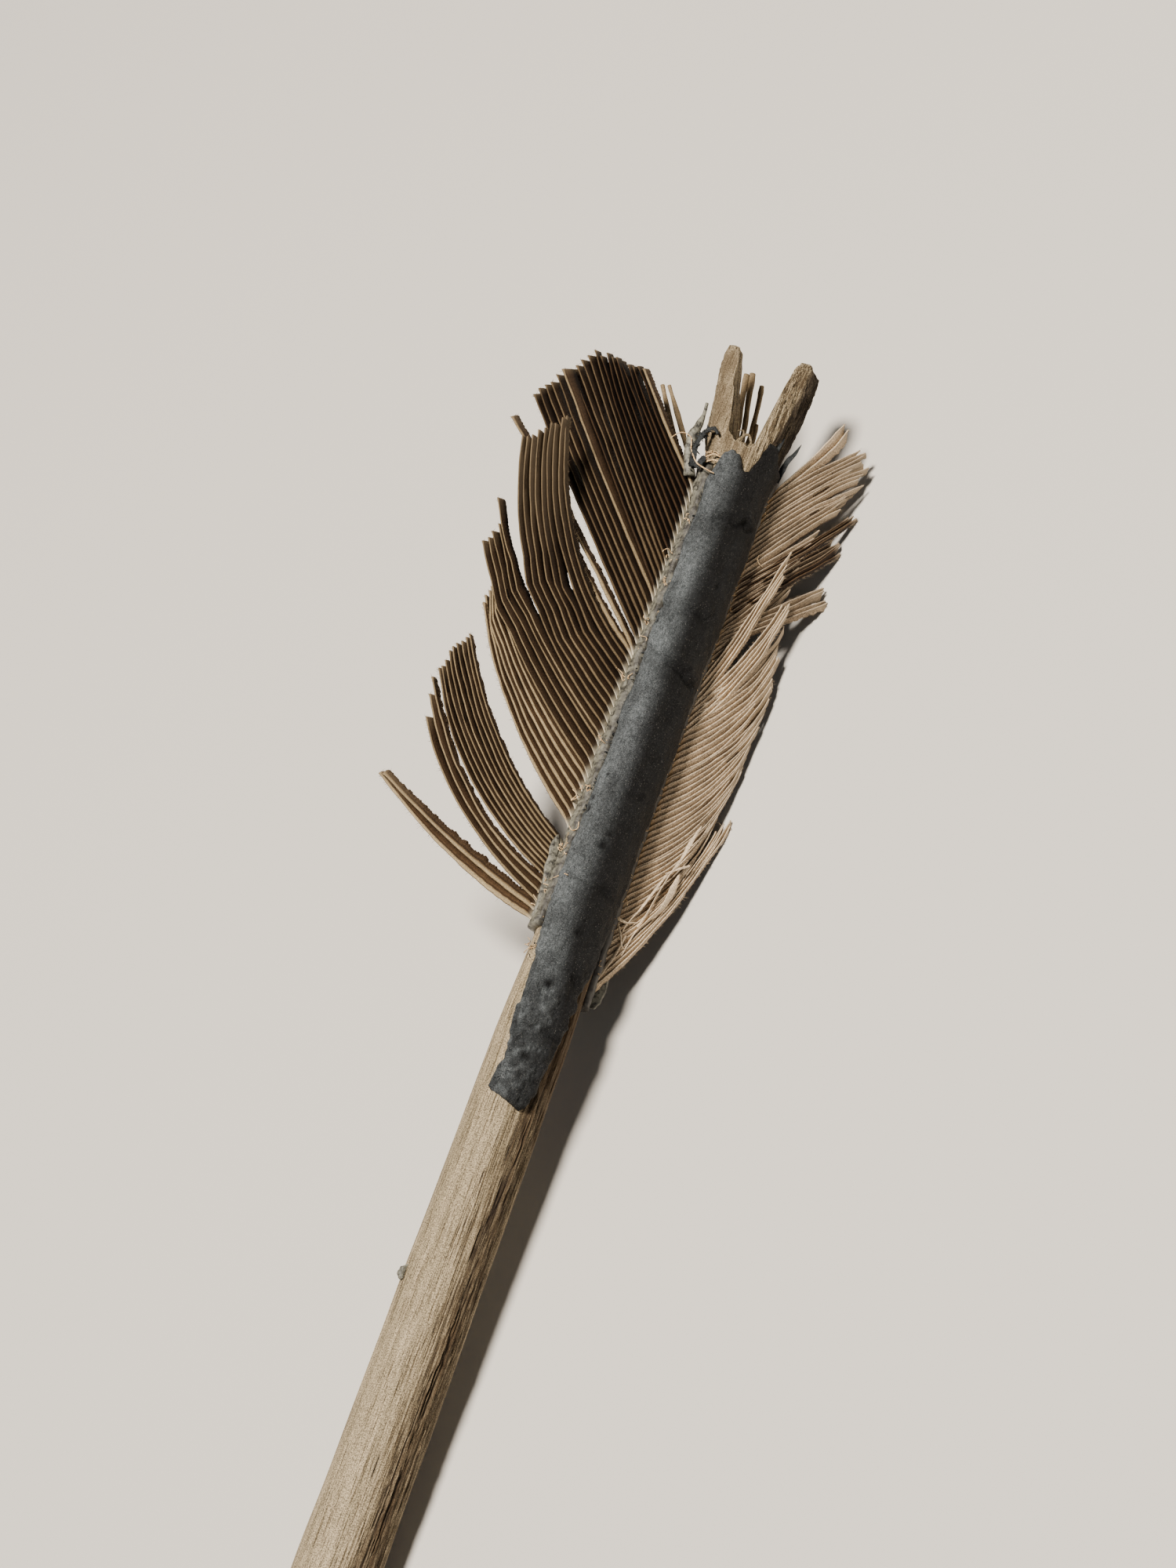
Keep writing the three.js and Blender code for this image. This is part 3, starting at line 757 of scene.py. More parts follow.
# %% [markdown]
# ## The feathers
#
# A flight feather's vane is made of barbs. Each barb has a narrow ridge of pale horn, the ramus, and
# a thin web of barbules that reaches to the next one. The webs slope away from the ridges like the
# slats of a blind, so a vane shows pale lines, brown bands and dark creases. A flat card with a
# picture of barbs would be lighter, but its edge would be smooth. Here every barb is a solid of its
# own, and a lock of barbs is a fan between its first and its last barb.

# %% The vanes' fans of barbs
Fan = namedtuple("Fan", "barbs lift tone wide bleach loose first last")
Feather = namedtuple(
    "Feather", "name node turn quill face slip web uneven tuft wobble plump flare splits rows fans"
)
LEFT = Feather(
    "left_vane", "feather_left", -80, (69.5, 117), 1, 1, (0.05, 0.5), 0.03, 0.12, 0.08, 0.0, 0.8, 0.12, 130,
    [
        Fan(1, 0, 0.0, 0.13, 4, 0.3, [(70.2, 3.2), (70.6, 8.2), (73, 14.6), (76.9, 20.8)],
            [(71.2, 3.2), (71.9, 8.2), (74.1, 14.5), (77.2, 20.6)]),
        Fan(1, 0.2, 0.1, 0.12, 5, 1, [(71.0, 3.2), (72.0, 8.6), (74.2, 14.7), (76.95, 20.7)],
            [(72.1, 3.2), (73.4, 8.6), (75.4, 14.6), (77.5, 20.4)]),
        Fan(3, 0.5, 0.35, 0.07, 1.5, 1, [(71.6, 3.2), (73.6, 9), (77.4, 15.4), (83.6, 19)],
            [(73.4, 3.2), (74.9, 9.5), (79.5, 15.6), (87.2, 19.6)]),
        Fan(9, 0.8, 0.5, 0.06, 1.2, 1, [(74, 3.2), (76.1, 9.3), (80.6, 15.8), (88.1, 19.6)],
            [(77.6, 3.2), (80, 8.4), (84.8, 14), (92.6, 18.2)]),
        Fan(6, 0.5, 0.12, 0.085, 1.2, 0, [(79.4, 3.2), (83.5, 9.2), (89.2, 14.8), (95.8, 18)],
            [(84, 3.2), (88.4, 9.9), (93, 15), (98.4, 17.4)]),
        Fan(4, 1.5, 0.6, 0.055, 1.5, 0, [(84.6, 3.2), (89.4, 10.4), (95, 16.6), (100.4, 20)],
            [(87.6, 3.2), (92.6, 10.8), (98, 16.8), (103, 19.4)]),
        Fan(1, 2, 0.6, 0.055, 2, 0, [(88.2, 3.2), (93.2, 11), (98.8, 17), (105, 20.4)],
            [(88.9, 3.2), (93.9, 11), (99.3, 16.7), (105, 19.7)]),
        Fan(9, 4, 0.75, 0.06, 11, 1, [(89.2, 3.2), (94, 11.3), (100, 17.8), (110.5, 20.4)],
            [(96, 3.2), (99.8, 10), (106.6, 15.2), (114.2, 17.3)]),
        Fan(1, -0.5, 0.3, 0.12, 3, 1, [(96.8, 3.2), (99.4, 8), (102.8, 9.8), (107.6, 16)],
            [(97.4, 3.2), (100, 7.7), (103.4, 9.5), (108.2, 15.7)]),
        Fan(1, -2, 0.3, 0.10, 2, 1, [(97, 3.2), (103, 9.2), (109, 15.6), (114.4, 21.2)],
            [(97.8, 3.2), (104, 9.2), (110, 15.2), (115, 20.7)]),
        Fan(5, -1, 0.8, 0.07, 0.7, 0, [(98, 3.2), (104.2, 9.2), (110.7, 15.2), (117.3, 20.6)],
            [(101.4, 3.2), (107.2, 8.7), (113.4, 14.2), (119.8, 19)]),
        Fan(1, -0.6, 0.4, 0.09, 0.7, 0, [(102.6, 3.2), (108, 8.4), (114, 13.8), (120.2, 18.6)],
            [(103.4, 3.2), (108.8, 8.2), (114.8, 13.4), (121, 18)]),
        Fan(4, -1, 0.9, 0.07, 0.7, 0, [(103.2, 3.2), (109, 8.2), (115, 13.3), (121, 18)],
            [(105.6, 3.2), (111, 8), (117, 12.8), (123, 16.9)]),
        Fan(9, -1, 1.0, 0.06, 0.7, 0, [(106.2, 3.2), (111.8, 7.9), (117.5, 12.6), (123.6, 16.4)],
            [(113.5, 3.4), (116.6, 6.6), (120.2, 9.6), (124, 12.3)]),
        Fan(1, -0.9, 0.4, 0.09, 0.7, 1, [(114.3, 3.4), (117.2, 6.4), (120.5, 9.1), (124, 11.8)],
            [(115.1, 3.4), (118, 6), (121, 8.6), (124.4, 11.2)]),
    ],
)  # fmt: skip
RIGHT = Feather(
    "right_vane", "feather_right", 103, (64.5, 119), -1, -1, (0.0, 0.5), 0.09, 0.75, 0.2, 1.0, 0.3, 0.35, 90,
    [
        Fan(6, 0.6, 0.1, 0.05, 5, 1, [(65.8, 3), (70.4, 5.9), (78, 8.8), (87.9, 10.9)],
            [(70.5, 3), (74.2, 6.4), (79.8, 8.6), (86, 9.4)]),
        Fan(11, 1, 0.25, 0.05, 5, 0, [(71, 3), (74.6, 6.5), (80, 8.7), (86.5, 9)],
            [(78, 3), (80.8, 6.5), (85.5, 9.2), (91.5, 9.8)]),
        Fan(14, 1, 0.3, 0.05, 4, 0, [(78.2, 3), (81, 6.5), (85.8, 9.2), (92, 9.8)],
            [(87, 3), (90, 6.4), (94.8, 9.3), (100, 10.2)]),
        Fan(11, 1, 0.25, 0.05, 4, 0, [(87.3, 3), (90.3, 6.4), (95.2, 9.2), (100.6, 10.1)],
            [(95, 3), (98, 6.2), (102, 8.5), (107, 9)]),
        Fan(4, -0.9, 0.05, 0.05, 9, 1, [(94, 3), (98, 4.8), (104, 6.0), (112.4, 7.4)],
            [(97, 3), (101, 4.6), (106, 5.4), (113, 7.0)]),
        Fan(5, -0.4, 0.1, 0.05, 9, 1, [(91.4, 3), (97, 6.6), (102.6, 8.0), (108.4, 8.8)],
            [(94.6, 3), (99.4, 5.8), (104, 7.2), (108.2, 8)]),
        Fan(13, 0.8, 0.5, 0.05, 3, 0, [(98.5, 3), (101.8, 5), (105, 6.8), (109, 8.2)],
            [(107.5, 3), (110.7, 5), (113.5, 7), (117, 9.4)]),
        Fan(8, 0.8, 0.5, 0.05, 3, 0, [(108.3, 3), (112, 5.3), (116, 7.8), (120.4, 10.9)],
            [(113, 3), (117, 5.4), (121, 8), (125.2, 11.9)]),
        Fan(5, 0.6, 0.42, 0.05, 4, 0, [(113.4, 3.1), (117.4, 5.5), (121.3, 8), (125.6, 11.7)],
            [(116.6, 3.3), (120.2, 5.6), (123.3, 8), (126.4, 10.6)]),
        Fan(2, 0.3, 0.1, 0.05, 5, 1, [(116.8, 3.4), (120.3, 5.6), (124, 7.5), (127.6, 8.7)],
            [(117.8, 3.6), (121, 5.5), (124.5, 6.8), (128, 8)]),
        Fan(4, 1.2, 0.5, 0.05, 3, 1, [(101, 3), (105.2, 7.4), (108, 10), (110.8, 12.8)],
            [(102.4, 3), (106.4, 7), (109.6, 9.4), (112.4, 12)]),
        # These two locks lie in shade behind the vane: their tone near 1 paints them with the dark colours,
        # as painted shade.
        Fan(5, 1.6, 0.95, 0.05, 1, 1, [(104, 3), (108.4, 6.8), (113, 10.2), (116.6, 12.2)],
            [(106, 3), (110.2, 6.3), (114, 9.2), (117.6, 11.4)]),
        Fan(4, 1.6, 1.0, 0.05, 1, 1, [(106.4, 3), (110.6, 6.4), (115.2, 10), (120.4, 12.8)],
            [(107.4, 3), (111.6, 6.1), (116.2, 9.6), (120.8, 12.4)]),
    ],
)  # fmt: skip
BACK = Feather(
    "back_vane", "feather_back", 188, (64, 117), 1, 1, (0.1, 0.9), 0.05, 0.4, 0.12, 0.5, 0.6, 0.3, 70,
    [
        Fan(14, 0.6, 0.5, 0.07, 2, 0, [(66, 3), (70, 7.2), (76, 10.8), (83, 12.8)],
            [(78, 3), (83, 7.8), (89, 11.4), (96, 13.6)]),
        Fan(22, 0.8, 0.55, 0.07, 2, 0, [(78.6, 3), (83.6, 7.8), (89.6, 11.4), (96.6, 13.6)],
            [(97.6, 3), (102.8, 7.6), (109, 11.2), (116, 13.2)]),
        Fan(14, 1, 0.6, 0.07, 2, 0, [(98.4, 3), (103.6, 7.5), (109.8, 11), (116.6, 12.8)],
            [(110.6, 3), (115.2, 6.6), (120, 9.4), (125.6, 11.2)]),
    ],
)  # fmt: skip
KINKS = [  # where barbs of the left vane were folded, as (along, reach), and how far a fold bulges
    ([(93.9, 16.2), (95.4, 16.1), (97.4, 15.6), (98.6, 14.4), (99.2, 13.6), (99.9, 12.8),
      (99.7, 11.4)], 0.30),
    ([(94.7, 10.4), (95.4, 9.7), (96.2, 8.9), (97.2, 7.8)], 0.20),
]

# %% [markdown]
# ## Lay out the barbs
#
# A barb is a closed tube with ten sides: four of them make the ridge and the others the web, above
# and below. All the barbs of a vane are worked out together as arrays, with one row of corners every
# fifth of a millimetre or so. The web's edge is toothed by its barbules. Two old folds cross the left
# vane, and each barb bends there.

# %% From fans to barbs
Paths = namedtuple("Paths", "along reach lift aside tangent spacing run left tone wide bleach free")
WIDEST_WEB = 1.2  # mm


def fold_barbs(path, run, aside):
    """Bends the barbs sharply where they cross one of the fold lines."""
    for line, bulge in KINKS:
        corners = np.array(line)
        knots = np.linspace(0, len(corners) - 1, 50)
        fold = np.stack([np.interp(knots, range(len(corners)), corners[:, i]) for i in (0, 1)], 1)
        gap = np.linalg.norm(path[:, :, None] - fold, axis=3).min(2)
        row = gap.argmin(1)
        barb = np.arange(len(path))
        crossed = (gap[barb, row] < 0.3)[:, None]
        peak = np.clip(1 - np.abs(run - run[barb, row][:, None]) / 2.4, 0, 1)
        path = path + aside * (bulge * peak * crossed)[..., None]
    return path


def barb_paths(feather, seed):
    """The middle line of every barb, the direction across it and the way to the next one."""
    random = np.random.default_rng(seed)
    points, steps, every = [], [], []
    alone = 1
    for fan in feather.fans:
        first, last = np.array(fan.first, float), np.array(fan.last, float)
        shares = np.linspace(0, 1, fan.barbs) if fan.barbs > 1 else np.array([0.0])
        points.append(first + shares[:, None, None] * (last - first))
        steps.append(np.repeat([(last - first) / max(fan.barbs - 1, 1)], fan.barbs, 0))
        edge = 0 if feather.slip < 0 else fan.barbs - 1
        for barb in range(fan.barbs):
            tone = np.clip(fan.tone + 0.08 * random.normal(), 0, 1)
            web_free, ridge_free = fan.loose * (barb == edge), alone * (barb == fan.barbs - 1 - edge)
            every.append((fan.lift, tone, fan.wide, fan.bleach, web_free, ridge_free))
        alone = fan.loose
    points, steps = np.concatenate(points), np.concatenate(steps)
    lifts, tone, wide, bleach, web_free, ridge_free = np.array(every, float).T[..., None]
    count = len(points)
    fan_sizes = [fan.barbs for fan in feather.fans]
    fan_of = np.repeat(np.arange(len(fan_sizes)), fan_sizes)
    tufts = 100 * fan_of + np.floor(np.cumsum(random.uniform(0.2, 0.7, count))).astype(int)
    ends = 1 - feather.uneven * (0.8 * LATTICE[tufts % LATTICE_SIZE, seed] + 0.5 * random.random(count))
    t = np.linspace(0, 1, feather.rows + 1) * ends[:, None]
    weights = np.stack([(1 - t) ** 3, 3 * t * (1 - t) ** 2, 3 * t * t * (1 - t), t**3], 1)
    path = np.einsum("nkc,nkr->nrc", points, weights)
    step = np.einsum("nkc,nkr->nrc", steps, weights)
    tangent = np.gradient(path, axis=1)
    tangent /= np.linalg.norm(tangent, axis=2, keepdims=True)
    aside = np.stack([tangent[..., 1], -tangent[..., 0]], 2)
    spacing = (step * aside).sum(2)
    aside *= feather.slip * np.sign(spacing.mean(1))[:, None, None]
    run = np.zeros(path.shape[:2])
    run[:, 1:] = np.cumsum(np.linalg.norm(np.diff(path, axis=1), axis=2), 1)
    wobble = random.random(count)[:, None] * 90
    sway = feather.wobble * t * noise(run * 0.35, wobble) + 0.02 * noise(run * 1.1, wobble + 40)
    path += aside * sway[..., None]
    gathered = np.stack([path[tufts == tuft].mean(0) for tuft in tufts])
    pull = ((gathered - path) * aside).sum(2) * feather.tuft * t**5
    path += aside * pull[..., None]
    if feather.name == LEFT.name:
        path = fold_barbs(path, run, -aside)
    spacing = np.abs(spacing)
    for fan, start in zip(feather.fans, np.cumsum([0] + fan_sizes)):
        edge = start if feather.slip < 0 else start + fan.barbs - 1
        beside = edge + feather.slip
        if not fan.loose and 0 <= beside < count:
            to_next = np.abs(((path[beside] - path[edge]) * aside[edge]).sum(1))
            wider = np.clip(to_next, spacing[edge], WIDEST_WEB)
            spacing[edge] += (wider - spacing[edge]) * smooth(run[edge, -1] - run[edge], 6, 12)
    lift = lifts * t * t + 0.16 * t * noise(run * 0.25, wobble + 11)
    left = run[:, -1:] - run
    free = np.concatenate([web_free, ridge_free], 1)
    along, reach = path[..., 0], path[..., 1]
    return Paths(along, reach, lift, aside, tangent, spacing, run, left, tone, wide, bleach, free)


OVERLAP = 1.25
HOOK = 0.5
LOWEST = 0.05
BARBULES_EVERY = 0.34  # mm, several times the real spacing, or they would be too fine to show
BEADS_EVERY = 0.19
PORES_EVERY = 0.17


def off_floor(places):
    """Keeps corners from sinking into the floor."""
    places[..., 2] = np.maximum(places[..., 2], LOWEST * MM)
    return places


def web_width(feather, paths):
    """How wide the web is along every barb: toothed, split here and there, and frayed at a lock's edge."""
    run, left = paths.run, paths.left
    lane = np.arange(len(run))[:, None] * 3.7
    frayed = 0.05 + (0.25 + 1.3 * feather.plump) * np.abs(noise(lane, 3.0))
    cover = smooth(run, *feather.web) * smooth(left, -0.1, frayed)
    teeth = 0.05 * np.sin(run * math.tau / BARBULES_EVERY + lane) + 0.05 * noise(run * 3.1, lane)
    teeth += paths.free[:, :1] * (0.16 * noise(run * 2.6, lane) - 0.45)
    split = feather.splits * smooth(noise(run * 0.12, lane * 0.37), 0.65, 0.9)
    return paths.spacing * cover * np.maximum(OVERLAP + teeth - split, 0.1) + 0.02


def lay_barbs(feather, paths, ridge_high):
    """Builds the ridge and the web of every barb of a vane as one mesh."""
    run, left = paths.run, paths.left
    lane = np.arange(len(run))[:, None] * 3.7
    hook = HOOK * np.clip(1 - run / 1.3, 0, 1) ** 2
    web = web_width(feather, paths)
    knob = 1 + smooth(left, 0.5, 0.0) * (0.3 + 0.5 * noise(run * 5, lane)) + 0.15 * noise(run * 2.2, lane + 5)
    flare = 1 + feather.flare * (1 - smooth(run, 3, 13))
    thin = paths.wide * knob * flare * (0.4 + 0.6 * smooth(run, 0.3, 1.6))
    high = ridge_high * (1 - 0.3 * smooth(run, 3, 18)) * (0.35 + 0.65 * smooth(run, 0.2, 1.6))
    high = high * smooth(left, -0.3, 0.25)
    fall = -0.11 - (0.14 - 0.03 * feather.plump) * np.minimum(web, 0.9)
    middle = (0.45 - 0.3 * feather.plump) * fall + 0.02 + 0.03 * feather.plump
    beads = 0.03 * np.sin(run * math.tau / BEADS_EVERY + lane)
    sides = [
        (-thin, -0.20 + 0 * run, 0.5),
        (-thin * 0.95, high * 0.35, 0.12),
        (-thin * 0.6, high, 0.0),
        (thin * 0.5, high, 0.0),
        (thin + 0.05 * web, high * 0.35, 0.25),
        (thin + 0.42 * web, middle + beads, 0.6),
        (thin * 0.6 + web, fall + 0.03, 1.0),
        (thin * 0.6 + web, fall - 0.02, 1.0),
        (thin + 0.42 * web, 0.5 * fall - 0.08, 0.6),
        (thin, -0.21 + 0 * run, 0.5),
    ]
    out = np.stack([s[0] for s in sides], 2)
    up = np.stack([s[1] for s in sides], 2) * feather.face
    across = np.broadcast_to([s[2] for s in sides], out.shape) * (1 - 0.4 * paths.free[:, :1, None])
    along = (paths.along - hook)[..., None] + paths.aside[..., :1] * out
    reach = paths.reach[..., None] + paths.aside[..., 1:] * out
    places = off_floor(on_arrow(along, feather.turn, reach, paths.lift[..., None] + up))
    same = np.ones(out.shape)
    return laid_tubes(
        feather.name,
        places,
        {
            "across": across,
            "tone": paths.tone[..., None] * same,
            "tip": np.clip(1 - left / paths.bleach, 0, 1)[..., None] * same,
            "root": smooth(run, 1.1, 0.3)[..., None] * same,
            "run": run[..., None] * same,
        },
    )


# %% [markdown]
# ## Barbules
#
# Where a lock ends, its barbules no longer hook on to a neighbour and stand out as a fringe of short
# hairs. Fur particles can't be carried to the other tools, so each hair is a three-sided tube.

# %% Fringes of loose barbules
HAIR_EVERY = 0.13
HAIRS_AT_TIP = 6
HAIR_RADIUS = 0.022


def fringe(feather, paths, seed):
    """Short hairs along the free edges of the locks and round the tips of the barbs."""
    random = np.random.default_rng(seed)
    barbs, spots, sides = [], [], []
    for barb, long in enumerate(paths.run[:, -1]):
        for edge in (0, 1):
            hairs = int(paths.free[barb, edge] * long / HAIR_EVERY * (1.0 - 0.4 * edge))
            spots.append(long * (0.12 + 0.88 * random.random(hairs)))
            sides.append(np.full(hairs, 1.0 - 2 * edge))
            barbs.append(np.full(hairs, barb))
        spots.append(long - 0.3 * random.random(HAIRS_AT_TIP))
        sides.append(random.uniform(-1, 1, HAIRS_AT_TIP))
        barbs.append(np.full(HAIRS_AT_TIP, barb))
    barb, spot, edge = np.concatenate(barbs), np.concatenate(spots), np.concatenate(sides)
    row = np.rint(spot / paths.run[barb, -1] * (paths.run.shape[1] - 1)).astype(int)
    web = web_width(feather, paths)[barb, row]
    start = np.where(edge > 0, 0.75 * web * edge, paths.wide[barb, 0] * edge)
    lean = np.radians(random.uniform(15, 65, len(barb))) * np.sign(edge) * np.minimum(np.abs(edge) + 0.2, 1)
    size = random.uniform(0.08, 0.32, len(barb)) * np.where(edge < 0, 0.6, 1)
    aside, tangent = paths.aside[barb, row], paths.tangent[barb, row]
    middle = np.stack([paths.along[barb, row], paths.reach[barb, row]], 1) + aside * start[:, None]
    heading = tangent * np.cos(lean)[:, None] + aside * np.sin(lean)[:, None]
    share = np.linspace(0, 1, 4)
    line = middle[:, None] + heading[:, None] * (size[:, None] * share)[..., None]
    line += aside[:, None] * (0.12 * random.normal(size=len(barb))[:, None] * share**2)[..., None]
    sag = 0.08 - 0.2 * random.normal(size=len(barb))[:, None] * share**2
    lift = paths.lift[barb, row][:, None] - feather.face * sag
    round_it = np.arange(3) / 3 * math.tau
    radius = HAIR_RADIUS * (1 - 0.75 * share)[None, :, None]
    along = line[..., :1] + radius * np.cos(round_it) * -heading[:, None, 1:]
    reach = line[..., 1:] + radius * np.cos(round_it) * heading[:, None, :1]
    places = off_floor(on_arrow(along, feather.turn, reach, lift[..., None] + radius * np.sin(round_it)))
    same = np.ones(places.shape[:3])
    tone = paths.tone[barb, 0][:, None, None] * same
    painted = {"across": 0.2 * same, "tone": 0.6 * tone, "tip": 0.6 * same, "root": 0 * same, "run": 0 * same}
    return laid_tubes(feather.name + "_fringe", places, painted)


# %% [markdown]
# ## Horn and web
#
# Both are keratin, with an IOR near 1.55. The ramus is pale, and the web is brown and powdery.
# Painted shade darkens the web where it slips under the next ridge, and a painted shadow line runs
# beside each ridge. An old feather has lost its gloss, so its roughness is about 0.65. The numbers
# stored on the barbs say how far across the web a point is, how near the tip and the root, and how
# dark the whole barb is.


# %% The vane's material
def vane_material(name, pale, dark, tip, root, lines, powdery):
    """Goose barbs: pale and dark each give the colours of the ridge, its slope, the web and the crease, which
    is painted shade.

    lines gives, for places across the web, how dark the solid lines, mostly painted shade, and the dotted
    lines are there.
    """
    material, tree, shader, place = new_material(name)
    across, tone, near_tip, near_root, run = [
        add(tree, "Attribute", attribute_name=layer).outputs["Fac"]
        for layer in ("across", "tone", "tip", "root", "run")
    ]
    powder = add(tree, "TexNoise", {"Vector": place, "Scale": 1 / (0.11 * MM), "Detail": 2.0}).outputs["Fac"]
    clouds = add(tree, "TexNoise", {"Vector": place, "Scale": 1 / (2.4 * MM), "Detail": 3.0}).outputs["Fac"]
    off_ridge = add(tree, "MapRange", {"Value": across, "From Min": 0.02, "From Max": 0.2})
    on_web = add(tree, "MapRange", {"Value": across, "From Min": 0.25, "From Max": 0.45})
    ridge, slope, band, crease_shade = [
        add(tree, "Mix", {"Factor": tone, A: linear(lighter), B: linear(darker)}, **COLOURS).outputs[MIXED]
        for lighter, darker in zip(pale, dark)
    ]
    shading = add(tree, "ValToRGB", {"Fac": across})
    stops = shading.color_ramp.elements
    stops.remove(stops[1])
    for at, solid, dotted in lines:
        stop = stops.new(at)
        stop.color = (solid, dotted, 0, 1)
    stops.remove(stops[0])
    parts = add(tree, "SeparateColor", {"Color": shading.outputs["Color"]})
    turns = add(tree, "Math", {0: run, 1: math.tau / PORES_EVERY}, operation="MULTIPLY")
    wave = add(tree, "Math", {0: turns.outputs[0]}, operation="SINE")
    bead = add(tree, "MapRange", {"Value": wave.outputs[0], "From Min": -0.5, "From Max": 0.6})
    uneven = add(tree, "MapRange", {"Value": powder, "From Min": 0.35, "From Max": 0.6})
    pores = add(tree, "Math", {0: bead.outputs[0], 1: uneven.outputs[0]}, operation="MULTIPLY")
    dots = add(tree, "Math", {0: pores.outputs[0], 1: parts.outputs["Green"]}, operation="MULTIPLY")
    shade_and_dots = add(tree, "Math", {0: parts.outputs["Red"], 1: dots.outputs[0]}, operation="MAXIMUM")
    side = add(tree, "Mix", {"Factor": on_web.outputs[0], A: slope, B: band}, **COLOURS)
    web = add(tree, "Mix", {"Factor": shade_and_dots.outputs[0], A: side.outputs[MIXED], B: crease_shade}, **COLOURS)
    coloured = add(tree, "Mix", {"Factor": off_ridge.outputs[0], A: ridge, B: web.outputs[MIXED]}, **COLOURS)
    cloudy = add(tree, "MapRange", {"Value": clouds, "From Min": 0.3, "From Max": 0.7, "To Min": 0.75})
    strength = {"To Min": 1 - powdery, "To Max": 1 + powdery}
    grainy = add(tree, "MapRange", {"Value": powder, "From Min": 0.3, "From Max": 0.7, **strength})
    shade = add(tree, "Math", {0: cloudy.outputs[0], 1: grainy.outputs[0]}, operation="MULTIPLY")
    dusted = {"Factor": 1.0, A: coloured.outputs[MIXED], B: shade.outputs[0]}
    coloured = add(tree, "Mix", dusted, **MULTIPLIED)
    faded = add(tree, "Math", {0: near_tip, 1: 0.5}, operation="MULTIPLY").outputs[0]
    for cover, colour in ((faded, tip), (near_root, root)):
        under = coloured.outputs[MIXED]
        coloured = add(tree, "Mix", {"Factor": cover, A: under, B: linear(colour)}, **COLOURS)
    tree.links.new(coloured.outputs[MIXED], shader.inputs["Base Color"])
    bump = add(tree, "Bump", {"Height": powder, "Strength": powdery, "Distance": 0.1 * MM})
    tree.links.new(bump.outputs[0], shader.inputs["Normal"])
    shader.inputs["Roughness"].default_value = 0.65
    shader.inputs["Specular IOR Level"].default_value = 0.2
    return material


# In these tables the solid lines are painted shade: a painted shadow line beside the ridge, and the crease,
# darkest where the web slips under the next ridge. The dotted lines are the barbules.
PLAIN_WEB = [
    (0.0, 0, 0), (0.16, 0, 0), (0.22, 0.75, 0), (0.3, 0.5, 0), (0.36, 0, 0), (0.66, 0.1, 0.1),
            (0.84, 1, 0),
]  # fmt: skip
CORDED_WEB = [
    (0.0, 0, 0), (0.13, 0, 0), (0.2, 0.25, 1), (0.28, 0, 0.1), (0.44, 0, 0), (0.52, 0.2, 1),
            (0.6, 0, 0.1),
    (0.74, 0.1, 0), (0.82, 0.7, 0), (0.9, 1, 0),
]  # fmt: skip
dark_vane = vane_material(
    "brown_goose_vane",
    ("#9f8c6b", "#665039", "#523e2b", "#1c1009"),
    ("#342413", "#1a1008", "#140a05", "#050202"),
    "#71624d", "#bdb5a1", PLAIN_WEB, 0.35,
)  # fmt: skip
pale_vane = vane_material(
    "pale_goose_vane",
    ("#d3c0a4", "#c6ae90", "#c8b091", "#43301f"),
    ("#4d3b28", "#2b1d12", "#2e2014", "#080402"),
    "#c4b298", "#8f7350", CORDED_WEB, 0.6,
)  # fmt: skip
back_vane = vane_material(
    "tan_goose_vane",
    ("#cdb999", "#a48c6c", "#94805f", "#2a1c10"),
    ("#6d5c44", "#483726", "#3a2b1c", "#140c06"),
    "#84755c", "#8f8674", CORDED_WEB, 0.45,
)  # fmt: skip

VANES = [(LEFT, dark_vane, 11, 0.2), (RIGHT, pale_vane, 12, 0.13), (BACK, back_vane, 13, 0.18)]
for feather, material, seed, ridge_high in VANES:
    paths = barb_paths(feather, seed)
    piece(feather.name, lay_barbs(feather, paths, ridge_high), material, "vane", feather.node)
    piece(feather.name + "_fringe", fringe(feather, paths, seed + 20), material, "vane")

# %% [markdown]
# ## The split quills
#
# Each vane hangs on a strip of the feather's quill, split off and glued to the wood. The horn is grey
# white, dirtied with pitch, with ragged edges. Fresh horn shines, and this is scuffed: a roughness of
# 0.55.

# %% The quills' material and strips
horn, tree, shader, place = new_material("split_quill_horn")
mottled = {"Vector": place, "Scale": 1 / (0.5 * MM), "Detail": 5.0, "Roughness": 0.7}
smears = add(tree, "TexNoise", mottled).outputs["Fac"]
smeared = add(tree, "MapRange", {"Value": smears, "From Min": 0.42, "From Max": 0.62}).outputs[0]
dirty = add(tree, "Mix", {"Factor": smeared, A: linear("#7b796c"), B: linear("#23211c")}, **COLOURS)
pitchy = add(tree, "Attribute", attribute_name="pitchy").outputs["Fac"]
coated = add(tree, "Mix", {"Factor": pitchy, A: dirty.outputs[MIXED], B: linear("#1b1714")}, **COLOURS)
tree.links.new(coated.outputs[MIXED], shader.inputs["Base Color"])
bump = add(tree, "Bump", {"Height": smears, "Strength": 0.7, "Distance": 0.15 * MM})
tree.links.new(bump.outputs[0], shader.inputs["Normal"])
shader.inputs["Roughness"].default_value = 0.55
Quill = namedtuple("Quill", "feather low high out pitchy")
QUILLS = [
    Quill(LEFT, -100, -57, 0.82, 0.15),
    # The right quill lies in the shadow under the pitch's edge: its dark coat is pitch and painted shade.
    Quill(RIGHT, 84, 122, 0.72, 0.9),
    Quill(BACK, 169, 207, 0.72, 0.5),
]


